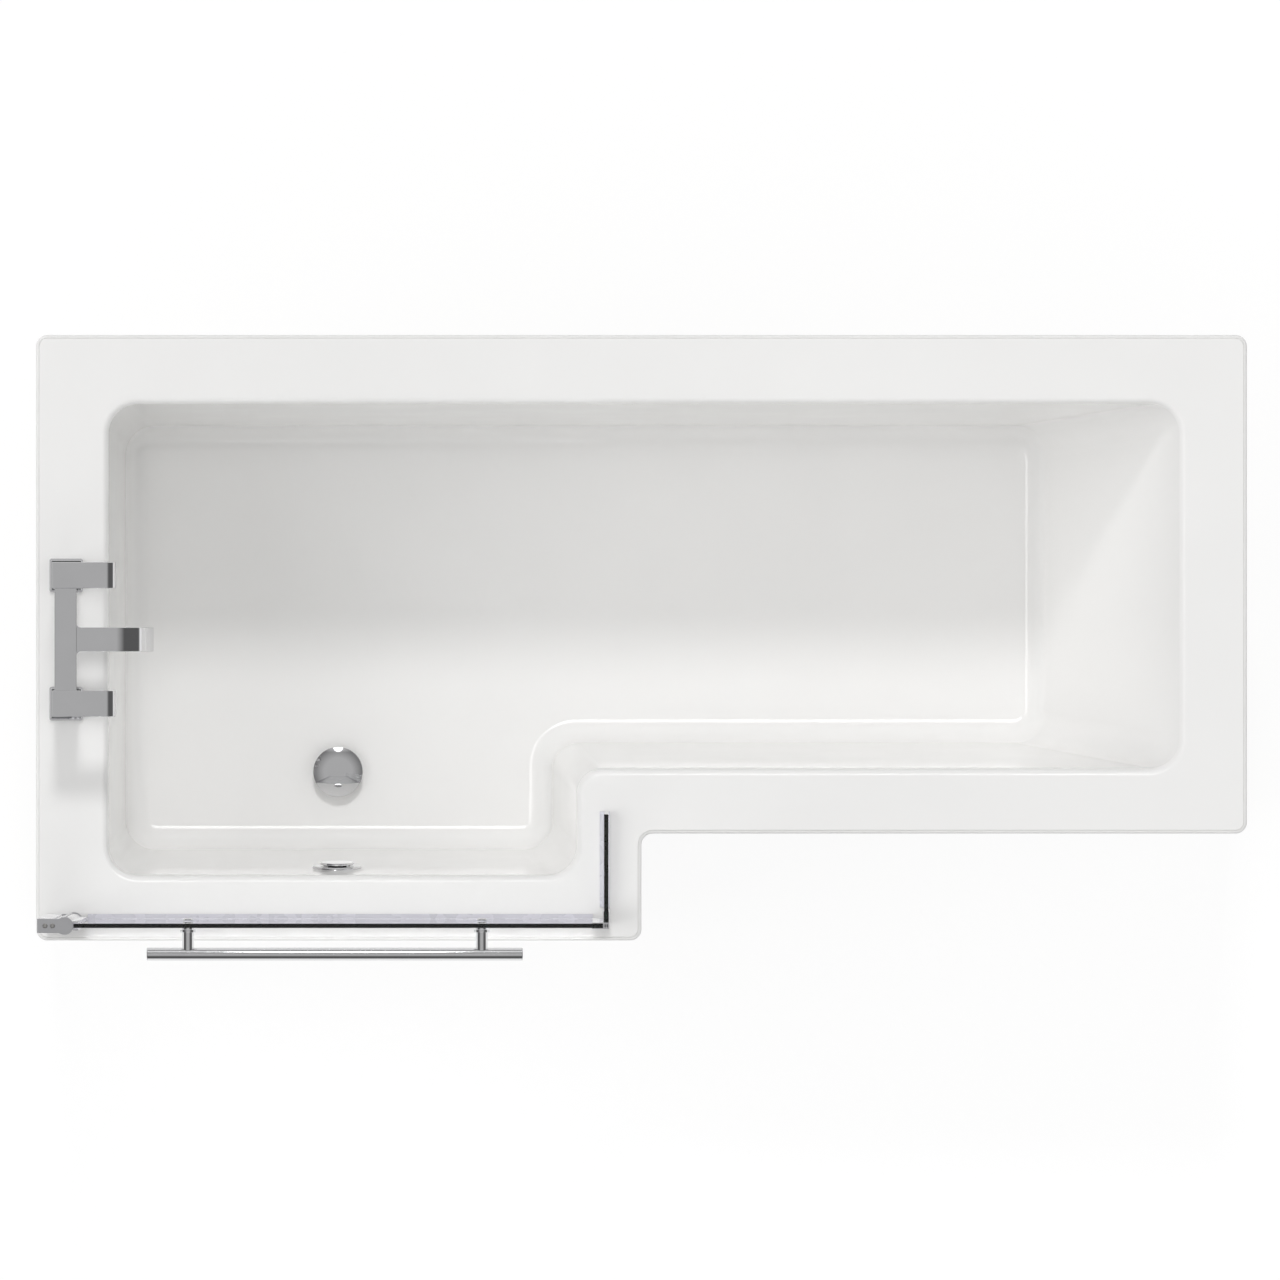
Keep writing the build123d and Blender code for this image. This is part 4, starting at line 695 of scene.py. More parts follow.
# Finish of each carried-over piece of the frame
NODE_FINISH = {
    "baseboard": "chipboard", "rim_battens": "pine_x", "floor_battens": "pine_x", "tap_batten": "pine_y",
    "cradle_bar_left": "galvanised", "cradle_bar_middle": "galvanised", "cradle_bar_right": "galvanised",
    "wall_brackets": "galvanised", "cradle_screws": "zinc_plate", "leg_studs": "zinc_plate",
    "leg_nuts": "zinc_plate", "leg_feet": "black_plastic", "panel_screws": "acrylic",
    "waste_flange": "chrome", "waste_seals": "black_rubber", "waste_body": "pipework",
    "plug_barrel": "brass", "plug_cap": "chrome", "plug_seal": "black_rubber", "overflow_cover": "chrome",
    "overflow_seal": "black_rubber", "overflow_elbow": "pipework", "overflow_pipe": "pipework",
    "tap_body": "chrome", "tap_aerator": "black_plastic", "tap_plates": "chrome", "tap_cartridges": "brass",
    "tap_tails": "brass", "tap_washers": "black_rubber", "tap_backnuts": "brass", "lever_back": "chrome",
    "lever_front": "chrome", "spindle_back": "brass", "spindle_front": "brass",
    "wall_channel": "aluminium", "pivot_profile": "aluminium", "profile_screws": "stainless",
    "hinge_cap_top": "cap_metal", "hinge_cap_bottom": "cap_metal", "hinge_cap_screws": "stainless",
    "glazing_bar": "aluminium", "glazing_gasket": "vinyl", "front_glass": "glass", "return_glass": "glass",
    "corner_profile": "aluminium", "front_seal": "vinyl", "return_seal": "vinyl", "rail_rod": "rail_chrome",
    "rail_posts": "rail_chrome", "rail_washers": "vinyl", "rail_screws": "rail_chrome",
    "bath_shell": "acrylic", "front_panel": "acrylic",
}


class BATH_OT_finish_nodes(bpy.types.Operator):
    """Give every carried-over piece of the frame its own finish"""

    bl_idname = "shower_bath.finish_nodes"
    bl_label = "Finish Frame Pieces"

    def execute(self, context):
        missing = set(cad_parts) - set(NODE_FINISH)
        if missing:
            raise RuntimeError(f"no finish is set for {sorted(missing)}")
        for name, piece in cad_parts.items():
            piece.data.materials.clear()
            piece.data.materials.append(Finishes.get(NODE_FINISH[name]))
        return {"FINISHED"}


class BATH_OT_moulding(bpy.types.Operator):
    """Form the bath: basin, rolled mouth, flat rim and turned-down lip in one even sheet"""

    bl_idname = "shower_bath.moulding"
    bl_label = "Bath Moulding"

    def execute(self, context):
        steps = context.scene.bath_settings.corner_steps
        inside, outside = basin_rings(0.0, steps), basin_rings(RIM_SHELL, steps)
        under, edge = RIM_TOP - RIM_SHELL, OUTER_EDGE
        t = np.linspace(0, np.pi / 2, 7)
        roll = np.stack([edge * (1 - np.sin(t)), RIM_TOP - edge * (1 - np.cos(t))], -1)[::-1]
        lip = [
            (RIM_SHELL + 1.5, under), (RIM_SHELL, under - 0.6), (RIM_SHELL, LIP_BOTTOM + 0.6),
            (RIM_SHELL - 0.6, LIP_BOTTOM), (0.6, LIP_BOTTOM), (0.0, LIP_BOTTOM + 0.6),
            (0.0, RIM_TOP - edge - 1.0), *roll[::-1], (edge + 1.5, RIM_TOP),
        ]
        rim = rim_rings(lip, steps)
        rows = np.concatenate([outside, rim, inside[::-1]])
        slots = np.ones(len(rows) - 1, int)
        slots[len(outside) + 3:] = 0
        around, column = rows.shape[1], steps + 2
        floors = [np.arange(around) + (len(rows) - 1) * around, np.arange(around)]
        walls, gone = [], []
        for first in (len(outside) + len(rim), 0):
            left = (first + WALL_ROWS) * around + column
            walls.append(np.concatenate([left + 1, left[::-1]]))
            gone.append(left[:-1])
        holes = [
            (*floors, [], WASTE + Z * FLOOR_TOP, Z, RIM_SHELL, WASTE_HOLE),
            (*walls, np.concatenate(gone), OVERFLOW, OVERFLOW_OUT, RIM_SHELL, OVERFLOW_HOLE),
        ]
        build(
            "bath_moulding", [pierced_skin(rows, slots, holes)],
            [Finishes.get("acrylic"), Finishes.get("backing")], "bath", ["bath_shell"],
        )
        return {"FINISHED"}


class BATH_OT_front_panel(bpy.types.Operator):
    """Form the front panel with its set-back plinth"""

    bl_idname = "shower_bath.front_panel"
    bl_label = "Front Panel"

    def execute(self, context):
        outer, inner = PANEL_INSET, PANEL_INSET + PANEL_WALL
        plinth, back = PLINTH_INSET, PLINTH_INSET + PANEL_WALL
        low, ledge = PLINTH_TOP, PLINTH_TOP + PANEL_WALL
        t = np.linspace(0, np.pi / 2, 5)
        round_low = [(outer + 2 * (1 - s), low + 2 * (1 - c)) for s, c in zip(np.sin(t), np.cos(t))]
        section = [
            (plinth, 0.0), (plinth, low - 0.5), (plinth - 0.5, low), *round_low, (outer, low + 3),
            (outer, PANEL_TOP - 1), (outer + 0.5, PANEL_TOP), (inner - 0.5, PANEL_TOP), (inner, PANEL_TOP - 0.5),
            (inner, ledge + 0.5), (inner + 0.5, ledge), (back - 0.5, ledge), (back, ledge - 0.5), (back, 0.0),
        ]
        section = np.array(section)
        lines = front_path(section[:, 0])
        heights = np.broadcast_to(section[:, 1, None, None], lines.shape[:2] + (1,))
        rows = np.concatenate([lines, heights], -1).transpose(1, 0, 2)[:, ::-1]
        build(
            "bath_front_panel", [skin(rows)], [Finishes.get("acrylic")], "bath", ["front_panel"],
        )
        return {"FINISHED"}


class BATH_OT_waste(bpy.types.Operator):
    """Turn the plated waste: flange and bowl with their spider, and the domed push plug"""

    bl_idname = "shower_bath.waste"
    bl_label = "Waste and Plug"

    def execute(self, context):
        low, high, bottom = 161.5, 164.0, 131.5
        bore, bowl, rim = 22.0, 24.0, 33.5
        t = np.linspace(0, np.pi / 2, 9)
        lip = [(rim - 2.5 + 2.5 * c, low + 0.6 + 1.9 * s) for s, c in zip(np.sin(t), np.cos(t))]
        throat = [(bowl - 2 * s, high - 2 * (1 - c)) for s, c in zip(np.sin(t), np.cos(t))]
        profile = [(bowl, bottom), (bowl, low - 0.3), (bowl + 0.3, low), (rim - 0.3, low), *lip, *throat, (bore, bottom)]
        flange = turned(profile, WASTE, steps=96, wrapped=True)
        arms = []
        for turn in np.arange(3) * 2 * np.pi / 3:
            way, side = np.array([np.cos(turn), np.sin(turn), 0]), np.array([-np.sin(turn), np.cos(turn), 0])
            reach = np.array([7.0, bowl - 1.0])[:, None]
            line = WASTE + way * reach + Z * (bottom + 2)
            arms.append(swept(line, np.repeat([side], 2, 0), np.repeat([Z], 2, 0), [5.0, 5.0], [4.0, 4.0], 0.8))
        hub = turned(ring_profile(5.8, 10.0, bottom, bottom + 4), WASTE, steps=48, wrapped=True)
        build(
            "waste_flange_bowl", [flange, hub, *arms], [Finishes.get("chrome")], "bath",
            ["waste_flange"],
        )
        under, edge, top, radius = 173.9, 175.9, 181.9, 35.0
        rise = top - edge
        sphere = (radius ** 2 + rise ** 2) / (2 * rise)
        sweep = np.linspace(np.arcsin((radius - 0.8) / sphere), 0.004, 24)
        dome = [(sphere * np.sin(s), top - sphere * (1 - np.cos(s))) for s in sweep]
        stem = [(1.0, 143.5), (4.6, 143.5), (5.0, 143.9), (5.0, under - 0.4), (5.4, under), (33.8, under)]
        edge_round = [(34.7, under + 0.3), (35.0, under + 0.9), (35.0, edge - 0.3), (34.75, edge + 0.1)]
        cap = turned(stem + edge_round + dome, WASTE, steps=96)
        build("plug_dome", [cap], [Finishes.get("chrome")], "plug", ["plug_cap"])
        return {"FINISHED"}


class BATH_OT_overflow(bpy.types.Operator):
    """Turn the overflow's plated cover and its raised disc, and lay the ribbed pipe behind"""

    bl_idname = "shower_bath.overflow"
    bl_label = "Overflow"

    def execute(self, context):
        t = np.linspace(0, np.pi / 2, 9)
        rim = [(32.5 + 2 * c, 2.0 + 2 * s) for s, c in zip(np.sin(t), np.cos(t))]
        profile = [(21.0, -22.0), (21.0, 0.0), (34.3, 0.0), (34.5, 0.3), *rim, (19.4, 4.0), (19.0, 3.6), (19.0, -22.0)]
        cover = turned(profile, OVERFLOW, OVERFLOW_OUT, 96, wrapped=True)
        disc = turned(disc_profile(23.5, 5.5, 9.0, 0.3, 1.2), OVERFLOW, OVERFLOW_OUT, 96)
        u, v, w = basis(OVERFLOW_OUT)
        posts = []
        for turn in np.radians([45, 135, 225, 315]):
            foot = OVERFLOW + 20.0 * (np.cos(turn) * u + np.sin(turn) * v)
            posts.append(turned(disc_profile(2.0, 3.5, 6.0), foot, w, 16))
        build(
            "overflow_faceplate", [cover, disc, *posts], [Finishes.get("chrome")], "bath",
            ["overflow_cover"],
        )
        start, bend, end = np.array([[-428, -334.254, 429.761], [-428, -304.352, 115.0], [-428, -218.7, 115.0]])
        a, b = (start - bend), (end - bend)
        la, lb = np.linalg.norm(a), np.linalg.norm(b)
        a, b = a / la, b / lb
        half = np.arccos(a @ b) / 2
        reach, radius = 45.0 / np.tan(half), 45.0
        middle = bend + (a + b) / np.linalg.norm(a + b) * radius / np.sin(half)
        across = bend + a * reach - middle
        t = np.linspace(0, np.pi - 2 * half, 60)[:, None]
        forward = -a
        arc = middle + across * np.cos(t) + forward * radius * np.sin(t)
        s = np.linspace(0, 1, 240)[:, None]
        first = start + (bend + a * reach - start) * s[:-1]
        last = (bend + b * reach) + (end - bend - b * reach) * np.linspace(0, 1, 30)[1:, None]
        line = np.concatenate([first, arc, last])
        along = np.concatenate([[0], np.cumsum(np.linalg.norm(np.diff(line, axis=0), axis=1))])
        plain = np.clip(np.minimum(along - 22, along[-1] - 22 - along) / 2, 0, 1)
        size = 12.4 - 1.2 * plain * (0.5 - 0.5 * np.cos(along * 2 * np.pi / 5.0))
        travel = np.gradient(line, axis=0)
        travel /= np.linalg.norm(travel, axis=1, keepdims=True)
        up = np.cross(travel, X)
        turn = np.linspace(0, 2 * np.pi, 32, endpoint=False)[None, :, None]
        outside = line[:, None] + size[:, None, None] * (np.cos(turn) * up[:, None] + np.sin(turn) * np.cross(travel, up)[:, None])
        bore = line[:, None] + 10.4 * (np.cos(turn) * up[:, None] + np.sin(turn) * np.cross(travel, up)[:, None])
        rows = np.concatenate([outside, bore[::-12]])
        build(
            "overflow_ribbed_pipe", [skin(rows, wrapped=True)], [Finishes.get("pipework")], "bath",
            ["overflow_pipe"], crease=60.0,
        )
        return {"FINISHED"}


class BATH_OT_tap(bpy.types.Operator):
    """Form the tap: plates, pillars, bridge, curved spout and two turning levers"""

    bl_idname = "shower_bath.tap"
    bl_label = "Bath Tap"

    def execute(self, context):
        chrome = [Finishes.get("chrome")]
        plates, body = [], []
        ledge = PLATE_TOP - 3.0
        wall = [
            (0.7, RIM_TOP), (0.3, RIM_TOP), (0.0, RIM_TOP + 0.3), (0.0, ledge - 0.2), (0.2, ledge), (1.9, ledge),
            (2.0, ledge + 0.1), (4.8, PLATE_TOP - 0.1), (5.0, PLATE_TOP), (5.6, PLATE_TOP),
        ]
        for y in VALVES.values():
            plates.append(block((TAP_X - 23.5, y - 23.5, RIM_TOP), (TAP_X + 23.5, y + 23.5, PLATE_TOP), 2.5, stations=wall))
            body.append(block((TAP_X - 17.5, y - 17.5, PLATE_TOP), (TAP_X + 17.5, y + 17.5, PILLAR_TOP), 2.5, 0.5))
        ends = np.array([VALVES["front"] - 10, VALVES["back"] + 10])
        line = np.stack([np.full(2, TAP_X), ends, np.full(2, BRIDGE_TOP - 11.0)], -1)
        body.append(swept(line, np.repeat([-X], 2, 0), np.repeat([Z], 2, 0), [31.0] * 2, [22.0] * 2, 0.8))
        root = TAP_X + 15.5
        d = np.concatenate([[-13.0], 6.0 * (1 - np.cos(np.linspace(0, np.pi / 2, 9)))])
        flare = 6.0 - np.sqrt(np.clip(36.0 - (6.0 - np.clip(d, 0, 6)) ** 2, 0, None))
        straight = np.stack([root + d, np.full(10, TAP_Y), np.full(10, SPOUT_MIDDLE)], -1)
        turn = np.linspace(0, np.radians(80), 33)
        arc_start = TAP_X + 59.0
        arc = np.stack(
            [arc_start + 57 * np.sin(turn), np.full(33, TAP_Y), SPOUT_MIDDLE - 57 * (1 - np.cos(turn))], -1
        )
        ahead = np.stack([np.cos(turn), np.zeros(33), -np.sin(turn)], -1)
        tip, last = arc[-1], ahead[-1]
        mouth = np.stack([tip, tip, tip - last * 6.0, tip - last * 6.0])
        origins = np.concatenate([straight, arc, mouth])
        travel = np.concatenate([np.repeat([X], 10, 0), ahead, np.repeat([last], 4, 0)])
        sides = np.repeat([Y], len(origins), 0)
        ups = np.cross(travel, sides)
        widths = np.concatenate([34.0 + 2 * flare, np.full(33, 34.0), [33.0, 25.0, 25.0, 24.0]])
        heights = np.concatenate([np.full(43, 16.0), [15.0, 9.0, 9.0, 8.0]])
        corner = np.concatenate([np.full(43, 0.8), [0.8, 0.6, 0.6, 0.5]])[:, None]
        body.append(swept(origins, sides, ups, widths, heights, corner))
        build("tap_pillars_spout", body, chrome, "bath", ["tap_body"])
        build("tap_deck_plates", plates, chrome, "bath", ["tap_plates"])
        for side, y in VALVES.items():
            hub = block((TAP_X - 17.5, y - 17.5, 668.4), (TAP_X + 17.5, y + 17.5, 682.6), 2.5, 0.4)
            t = np.linspace(0, np.radians(65), 15)
            flat = np.array([[TAP_X - 18.5, y, 686.9], [TAP_X - 18.1, y, 686.9], [TAP_X + 53.5, y, 686.9]])
            bend = np.stack([TAP_X + 54 + 14 * np.sin(t), np.full(15, y), 686.9 - 14 * (1 - np.cos(t))], -1)
            ahead = np.stack([np.cos(t), np.zeros(15), -np.sin(t)], -1)
            travel = np.concatenate([np.repeat([X], 3, 0), ahead])
            line = np.concatenate([flat, bend])
            sides = np.repeat([Y], 18, 0)
            widths, heights = np.full(18, 36.7), np.full(18, 9.0)
            widths[[0, -1]], heights[[0, -1]] = 35.9, 8.2
            blade = swept(line, sides, np.cross(travel, sides), widths, heights, 0.8)
            build(f"tap_lever_{side}", [hub, blade], chrome, f"{side}_lever", [f"lever_{side}"])
        return {"FINISHED"}


def cap_outline(inset):
    """Plan of a hinge cap drawn in by each inset: a strip from the wall that ends in the knuckle's
    circle. The circle runs between the angles where it meets the strip's sides."""
    inset = np.asarray(inset, float)[:, None]
    half, radius = 10.0 - inset, 12.6 - inset
    reach = np.pi - np.arcsin(half / radius)
    t = np.linspace(-1, 1, 33)[None, :] * reach
    arc = np.stack([HINGE_X + radius * np.cos(t), HINGE_Y + radius * np.sin(t)], -1)
    wall = np.broadcast_to(WALL_X + inset, half.shape)
    low = np.stack([wall, HINGE_Y - half], -1)
    high = np.stack([wall, HINGE_Y + half], -1)
    return np.concatenate([low, arc, high], axis=1)


class BATH_OT_hinge(bpy.types.Operator):
    """Form the screen hinge's caps with their pins, and the small dished screws"""

    bl_idname = "shower_bath.hinge"
    bl_label = "Hinge Caps"

    def execute(self, context):
        for name, low, edge_low, edge_high, pin in (
            ("hinge_cap_top", PROFILE_HIGH, 0.2, 1.0, -1), ("hinge_cap_bottom", PROFILE_LOW - 3, 1.0, 0.2, 1),
        ):
            high = low + 3
            t = np.linspace(0, np.pi / 2, 5)
            foot = np.stack([edge_low * (1 - np.sin(t)), low + edge_low * (1 - np.cos(t))], -1)
            head = np.stack([edge_high * (1 - np.cos(t)), high - edge_high * (1 - np.sin(t))], -1)
            stations = np.concatenate([[(edge_low + 0.4, low)], foot, head, [(edge_high + 0.4, high)]])
            plan = cap_outline(stations[:, 0])
            heights = np.broadcast_to(stations[:, 1, None, None], plan.shape[:2] + (1,))
            plate = skin(np.concatenate([plan, heights], -1))
            ends = sorted((low + 1.5, low + 1.5 + pin * 15.5))
            spigot = turned(disc_profile(3.0, *ends), (HINGE_X, HINGE_Y, 0), steps=32)
            build(f"{name}_cover", [plate, spigot], [Finishes.get("cap_metal")], "bath", [name])
        screws = []
        for x in (-813.3, -823.6):
            head = [(0.2, 1959.4), (3.2, 1959.4), (3.5, 1959.8), (3.45, 1960.6), (3.0, 1961.2), (2.0, 1961.55), (1.7, 1961.6)]
            drive = [(1.5, 1961.4), (1.4, 1960.4), (0.2, 1960.2)]
            screws.append(turned(head + drive, (x, HINGE_Y, 0), steps=32))
            for low, high in ((1946.0, 1959.6), (560.5, 574.5)):
                screws.append(turned(disc_profile(1.5, low, high), (x, HINGE_Y, 0), steps=16))
        build(
            "hinge_cap_fixings", screws, [Finishes.get("stainless")], "bath",
            ["hinge_cap_screws"],
        )
        return {"FINISHED"}


class BATH_OT_panes(bpy.types.Operator):
    """Form the two toughened panes with their ground and polished edges"""

    bl_idname = "shower_bath.panes"
    bl_label = "Glass Panes"

    def execute(self, context):
        glass = [Finishes.get("glass")]
        front = block((HINGE_X + 7, HINGE_Y - 3, GLASS_LOW), (PANE_END, HINGE_Y + 3, GLASS_HIGH), 0.8, 0.6, 3)
        side = block((CORNER_X - 3, RETURN_START, GLASS_LOW), (CORNER_X + 3, RETURN_END, GLASS_HIGH), 0.8, 0.6, 3)
        panes = [
            build("screen_front_pane", [front], glass, "screen", ["front_glass"]),
            build("screen_return_pane", [side], glass, "screen", ["return_glass"]),
        ]
        for pane in panes:
            pane.visible_shadow = False
        return {"FINISHED"}


class BATH_OT_rail(bpy.types.Operator):
    """Turn the towel rail: rod, collared posts and domed screws"""

    bl_idname = "shower_bath.rail"
    bl_label = "Towel Rail"

    def execute(self, context):
        chrome = [Finishes.get("rail_chrome")]
        rod = turned(disc_profile(9.0, 0.0, ROD_LENGTH, 1.2, 1.2, 6), (ROD_START, ROD_Y, RAIL_Z), X, 64)
        build("rail_round_rod", [rod], chrome, "screen", ["rail_rod"])
        posts, screws = [], []
        for x in POSTS:
            foot = (x, -389.5, RAIL_Z)
            collar = [(8.35, 4.5), (8.45, 4.5), (10.7, 4.5), (11.0, 4.8), (11.0, 8.2), (10.7, 8.5), (8.45, 8.5), (8.35, 8.5)]
            profile = [(2.0, 0.0), (8.0, 0.0), (8.35, 0.35), (8.35, 4.4), *collar[1:-1], (8.35, 8.6), (8.35, 34.0), (1.0, 34.0)]
            posts.append(turned(profile, foot, -Y, 48))
            head = [(0.3, 0.0), (6.3, 0.0), (6.7, 0.4)]
            t = np.linspace(0, np.pi / 2, 9)
            dome = [(4.0 + 2.7 * c, 1.0 + 2.4 * s) for s, c in zip(np.sin(t), np.cos(t))]
            screws.append(turned([*head, *dome, (2.6, 3.4), (2.4, 3.2), (2.3, 1.8), (0.3, 1.6)], (x, -381.5, RAIL_Z), Y, 48))
            screws.append(turned(disc_profile(3.0, -21.7, 0.2), (x, -381.5, RAIL_Z), Y, 24))
        build("rail_collared_posts", posts, chrome, "screen", ["rail_posts"])
        build("rail_domed_screws", screws, chrome, "screen", ["rail_screws"])
        return {"FINISHED"}


def threaded(radius, depth, pitch, low, high, x, y, around=16, per_turn=4):
    """A screw thread: r = radius - depth * tri(h / pitch - t / 2 pi), where tri rises and falls once a
    turn, faded out over the last pitch at both ends."""
    rows = int((high - low) / pitch * per_turn) + 2
    h = np.linspace(low, high, rows)[:, None]
    t = np.linspace(0, 2 * np.pi, around, endpoint=False)[None, :]
    phase = np.mod(h / pitch - t / (2 * np.pi), 1.0)
    fade = np.clip(np.minimum(h - low, high - h) / pitch, 0, 1)
    r = radius - depth * (fade * np.abs(2 * phase - 1) + (1 - fade))
    points = np.stack([x + r * np.cos(t), y + r * np.sin(t), np.broadcast_to(h, r.shape)], -1)
    return skin(points)


def hexagon(flats, bore, low, high, x, y):
    """A nut: a hexagon cut by a cone at each end, r = min(hexagon(t), cone(h)), closed down its bore."""
    t = np.linspace(0, 2 * np.pi, 48, endpoint=False)
    flat = flats / 2 / np.cos(np.mod(t, np.pi / 3) - np.pi / 6)
    rise = np.array([0.0, 0.8, 1.8, high - low - 1.8, high - low - 0.8, high - low])
    cone = flats / 2 * 0.97 + np.minimum(rise, rise[::-1]) * 1.5
    outside = np.minimum(flat[None, :], cone[:, None])
    bores = np.full((2, 48), bore)
    r = np.concatenate([outside, bores])
    h = np.concatenate([low + rise, [high, low]])[:, None]
    points = np.stack([x + r * np.cos(t), y + r * np.sin(t), np.broadcast_to(h, r.shape)], -1)
    return skin(points, wrapped=True)


class BATH_OT_cradle(bpy.types.Operator):
    """Form the adjustable legs: round feet, threaded studs and lock nuts, and the tap's backnuts"""

    bl_idname = "shower_bath.cradle"
    bl_label = "Legs and Nuts"

    def execute(self, context):
        studs, nuts, feet = [], [], []
        for x, y in LEGS:
            studs.append(threaded(5.0, 0.7, 1.5, 6.2, 153.0, x, y))
            nuts.append(hexagon(17.0, 5.3, BOARD_UNDER, BOARD_UNDER + 8, x, y))
            nuts.append(hexagon(17.0, 5.3, BOARD_UNDER - 10, BOARD_UNDER - 2, x, y))
            foot = [
                (3.0, 0.0), (24.4, 0.0), (25.0, 0.6), (25.0, 5.4), (24.5, 6.0), (11.5, 11.2), (10.4, 12.2),
                (10.0, 13.4), (10.0, 20.4), (9.4, 21.0), (5.6, 21.0), (5.3, 20.7), (5.3, 6.0), (3.0, 6.0),
            ]
            feet.append(turned(foot, (x, y, 0), steps=40))
        build("leg_threaded_studs", studs, [Finishes.get("zinc_plate")], "bath", ["leg_studs"], 50.0)
        build("leg_lock_nuts", nuts, [Finishes.get("zinc_plate")], "bath", ["leg_nuts"], 20.0)
        build("leg_round_feet", feet, [Finishes.get("black_plastic")], "bath", ["leg_feet"])
        backnuts = [hexagon(36.0, 13.5, 525.0, 534.0, TAP_X, y) for y in VALVES.values()]
        build("tap_hex_backnuts", backnuts, [Finishes.get("brass")], "bath", ["tap_backnuts"], 20.0)
        return {"FINISHED"}


class BATH_OT_stage(bpy.types.Operator):
    """Set the floor, the lamps, the sky and the camera over the bath"""

    bl_idname = "shower_bath.stage"
    bl_label = "Studio"

    def floor(self):
        """A wide pale disc that looks white to the camera and in mirrors, and still takes the shadow."""
        bpy.ops.mesh.primitive_circle_add(vertices=96, radius=60, fill_type="NGON")
        floor = bpy.context.object
        floor.name = floor.data.name = "studio_floor"
        n = Nodes("studio_floor")
        n.set(Roughness=0.9, Specular_IOR_Level=0.1, Base_Color=(0.75, 0.75, 0.75, 1))
        glow = n.add("ShaderNodeEmission")
        glow.inputs["Strength"].default_value = 0.89
        tone = n.add("ShaderNodeBsdfDiffuse")
        tone.inputs["Color"].default_value = (0.15, 0.15, 0.15, 1)
        seen = n.add("ShaderNodeAddShader")
        n.link(glow.outputs[0], seen.inputs[0])
        n.link(tone.outputs[0], seen.inputs[1])
        mix = n.add("ShaderNodeMixShader")
        n.link(self.viewed(n.tree), mix.inputs["Fac"])
        n.link(n.shader.outputs[0], mix.inputs[1])
        n.link(seen.outputs[0], mix.inputs[2])
        n.link(mix.outputs[0], n.tree.nodes["Material Output"].inputs["Surface"])
        floor.data.materials.append(n.material)

    @staticmethod
    def viewed(tree):
        """One for camera, mirror and glass rays, and nought for the rays that light the object."""
        path = tree.nodes.new("ShaderNodeLightPath")
        first, second = tree.nodes.new("ShaderNodeMath"), tree.nodes.new("ShaderNodeMath")
        first.operation = second.operation = "MAXIMUM"
        tree.links.new(path.outputs["Is Camera Ray"], first.inputs[0])
        tree.links.new(path.outputs["Is Glossy Ray"], first.inputs[1])
        tree.links.new(first.outputs[0], second.inputs[0])
        tree.links.new(path.outputs["Is Transmission Ray"], second.inputs[1])
        return second.outputs[0]

    def sky(self, studio):
        """A sky that lights the bath mostly from above. Camera and mirrors see white walls, a dark band
        over them, a grey ceiling and a bright screen at half height beyond the long wall."""
        world = bpy.data.worlds.new("studio_sky")
        world.use_nodes = True
        bpy.context.scene.world = world
        tree = world.node_tree
        light = tree.nodes["Background"]
        light.inputs["Strength"].default_value = studio.sky
        place = tree.nodes.new("ShaderNodeTexCoord")
        split = tree.nodes.new("ShaderNodeSeparateXYZ")
        shown = tree.nodes.new("ShaderNodeBackground")
        bright = tree.nodes.new("ShaderNodeBackground")
        screen = studio.screen
        for way, tones, seen in (
            ("Z", ((0.2, studio.sky_low), (0.55, 1.0)), light),
            ("Z", ((0.03, 1.0), (0.12, studio.band), (0.75, studio.band), (0.93, studio.zenith)), shown),
            ("Y", ((0.5, 0.0), (0.72, screen), (0.88, screen), (0.95, 0.0)), bright),
        ):
            ramp = tree.nodes.new("ShaderNodeValToRGB")
            elements = ramp.color_ramp.elements
            while len(elements) < len(tones):
                elements.new(0.5)
            for element, (height, tone) in zip(elements, tones):
                element.position, element.color = height, (tone, tone, tone, 1)
            tree.links.new(split.outputs[way], ramp.inputs["Fac"])
            tree.links.new(ramp.outputs["Color"], seen.inputs["Color"])
        mix = tree.nodes.new("ShaderNodeMixShader")
        tree.links.new(place.outputs["Generated"], split.inputs[0])
        tree.links.new(self.viewed(tree), mix.inputs["Fac"])
        tree.links.new(light.outputs[0], mix.inputs[1])
        both = tree.nodes.new("ShaderNodeAddShader")
        tree.links.new(shown.outputs[0], both.inputs[0])
        tree.links.new(bright.outputs[0], both.inputs[1])
        tree.links.new(both.outputs[0], mix.inputs[2])
        tree.links.new(mix.outputs[0], tree.nodes["World Output"].inputs["Surface"])

    @staticmethod
    def lamp(name, strength, softness, height, heading, mirrored=False, only=None):
        """A far lamp: heading is the way it stands from the bath in the plan, in degrees from +X. It may
        be seen in mirrors, and it may light one piece only."""
        light = bpy.data.lights.new(name, "SUN")
        light.energy, light.angle = strength, softness
        lamp = bpy.data.objects.new(name, light)
        bpy.context.scene.collection.objects.link(lamp)
        lamp.rotation_euler = (0, np.pi / 2 - height, np.radians(heading))
        lamp.visible_glossy = mirrored
        if only:
            lit = bpy.data.collections.new(name)
            lit.objects.link(bpy.data.objects[only])
            lamp.light_linking.receiver_collection = lit

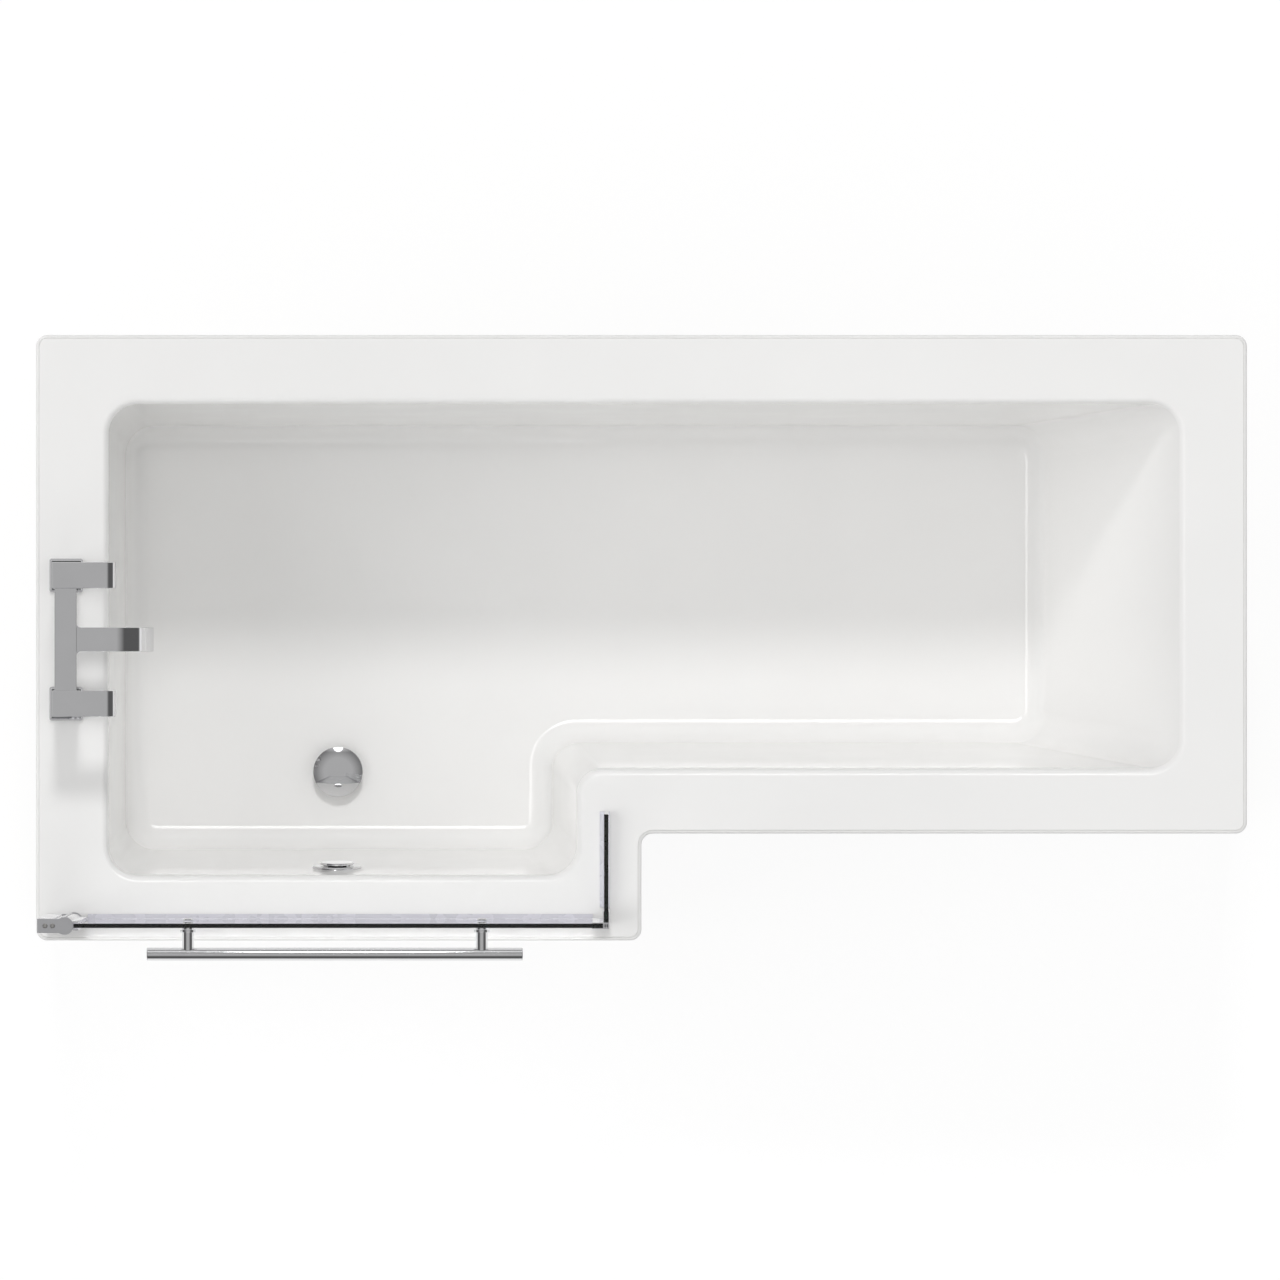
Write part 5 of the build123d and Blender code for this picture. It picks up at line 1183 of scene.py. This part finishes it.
    def execute(self, context):
        studio = context.scene.studio_settings
        self.floor()
        self.sky(studio)
        self.lamp("back_lamp", studio.back_light, studio.back_softness, studio.back_height, 90)
        self.lamp("side_lamp", studio.side_light, studio.side_softness, studio.side_height, 180)
        self.lamp("front_lamp", studio.front_light, studio.side_softness, studio.front_height, 270)
        self.lamp("end_lamp", studio.end_light, studio.side_softness, studio.end_height, 0)
        self.lamp("glint_lamp", studio.glint_light, np.radians(14), np.radians(52), 90, True, "plug_dome")
        soft = np.radians(10)
        self.lamp("line_lamp_back", studio.line_light, soft, np.radians(83), 90, True, "bath_moulding")
        self.lamp("line_lamp_side", studio.line_light / 2, soft, np.radians(82), 180, True, "bath_moulding")
        camera = bpy.data.cameras.new("camera")
        camera.type, camera.lens, camera.sensor_width = "PERSP", studio.camera_lens, 36
        camera.clip_start, camera.clip_end = 1, 500
        holder = bpy.data.objects.new("camera", camera)
        holder.location = (-0.0021, 0.0091, RIM_TOP * MM + studio.camera_height)
        context.scene.collection.objects.link(holder)
        context.scene.camera = holder
        context.scene.view_settings.view_transform = "Standard"
        return {"FINISHED"}


STEPS = (
    BATH_OT_finish_nodes, BATH_OT_moulding, BATH_OT_front_panel, BATH_OT_waste, BATH_OT_overflow,
    BATH_OT_tap, BATH_OT_hinge, BATH_OT_panes, BATH_OT_rail, BATH_OT_cradle, BATH_OT_stage,
)


class BATH_PT_panel(bpy.types.Panel):
    """Lists the steps and the settings of the bath in the sidebar"""

    bl_idname = "BATH_PT_panel"
    bl_label = "Shower Bath"
    bl_space_type = "VIEW_3D"
    bl_region_type = "UI"
    bl_category = "Shower Bath"

    def draw(self, context):
        column = self.layout.column()
        for group in (context.scene.bath_settings, context.scene.studio_settings):
            for name in group.__annotations__:
                column.prop(group, name)
        for step in STEPS:
            column.operator(step.bl_idname)


CLASSES = (BathSettings, StudioSettings, *STEPS, BATH_PT_panel)


def register():
    for kind in CLASSES:
        bpy.utils.register_class(kind)
    bpy.types.Scene.bath_settings = PointerProperty(type=BathSettings)
    bpy.types.Scene.studio_settings = PointerProperty(type=StudioSettings)


def unregister():
    del bpy.types.Scene.bath_settings
    del bpy.types.Scene.studio_settings
    for kind in reversed(CLASSES):
        bpy.utils.unregister_class(kind)


def main():
    register()
    for step in STEPS:
        group, name = step.bl_idname.split(".")
        getattr(getattr(bpy.ops, group), name)()


if __name__ == "__main__":
    main()
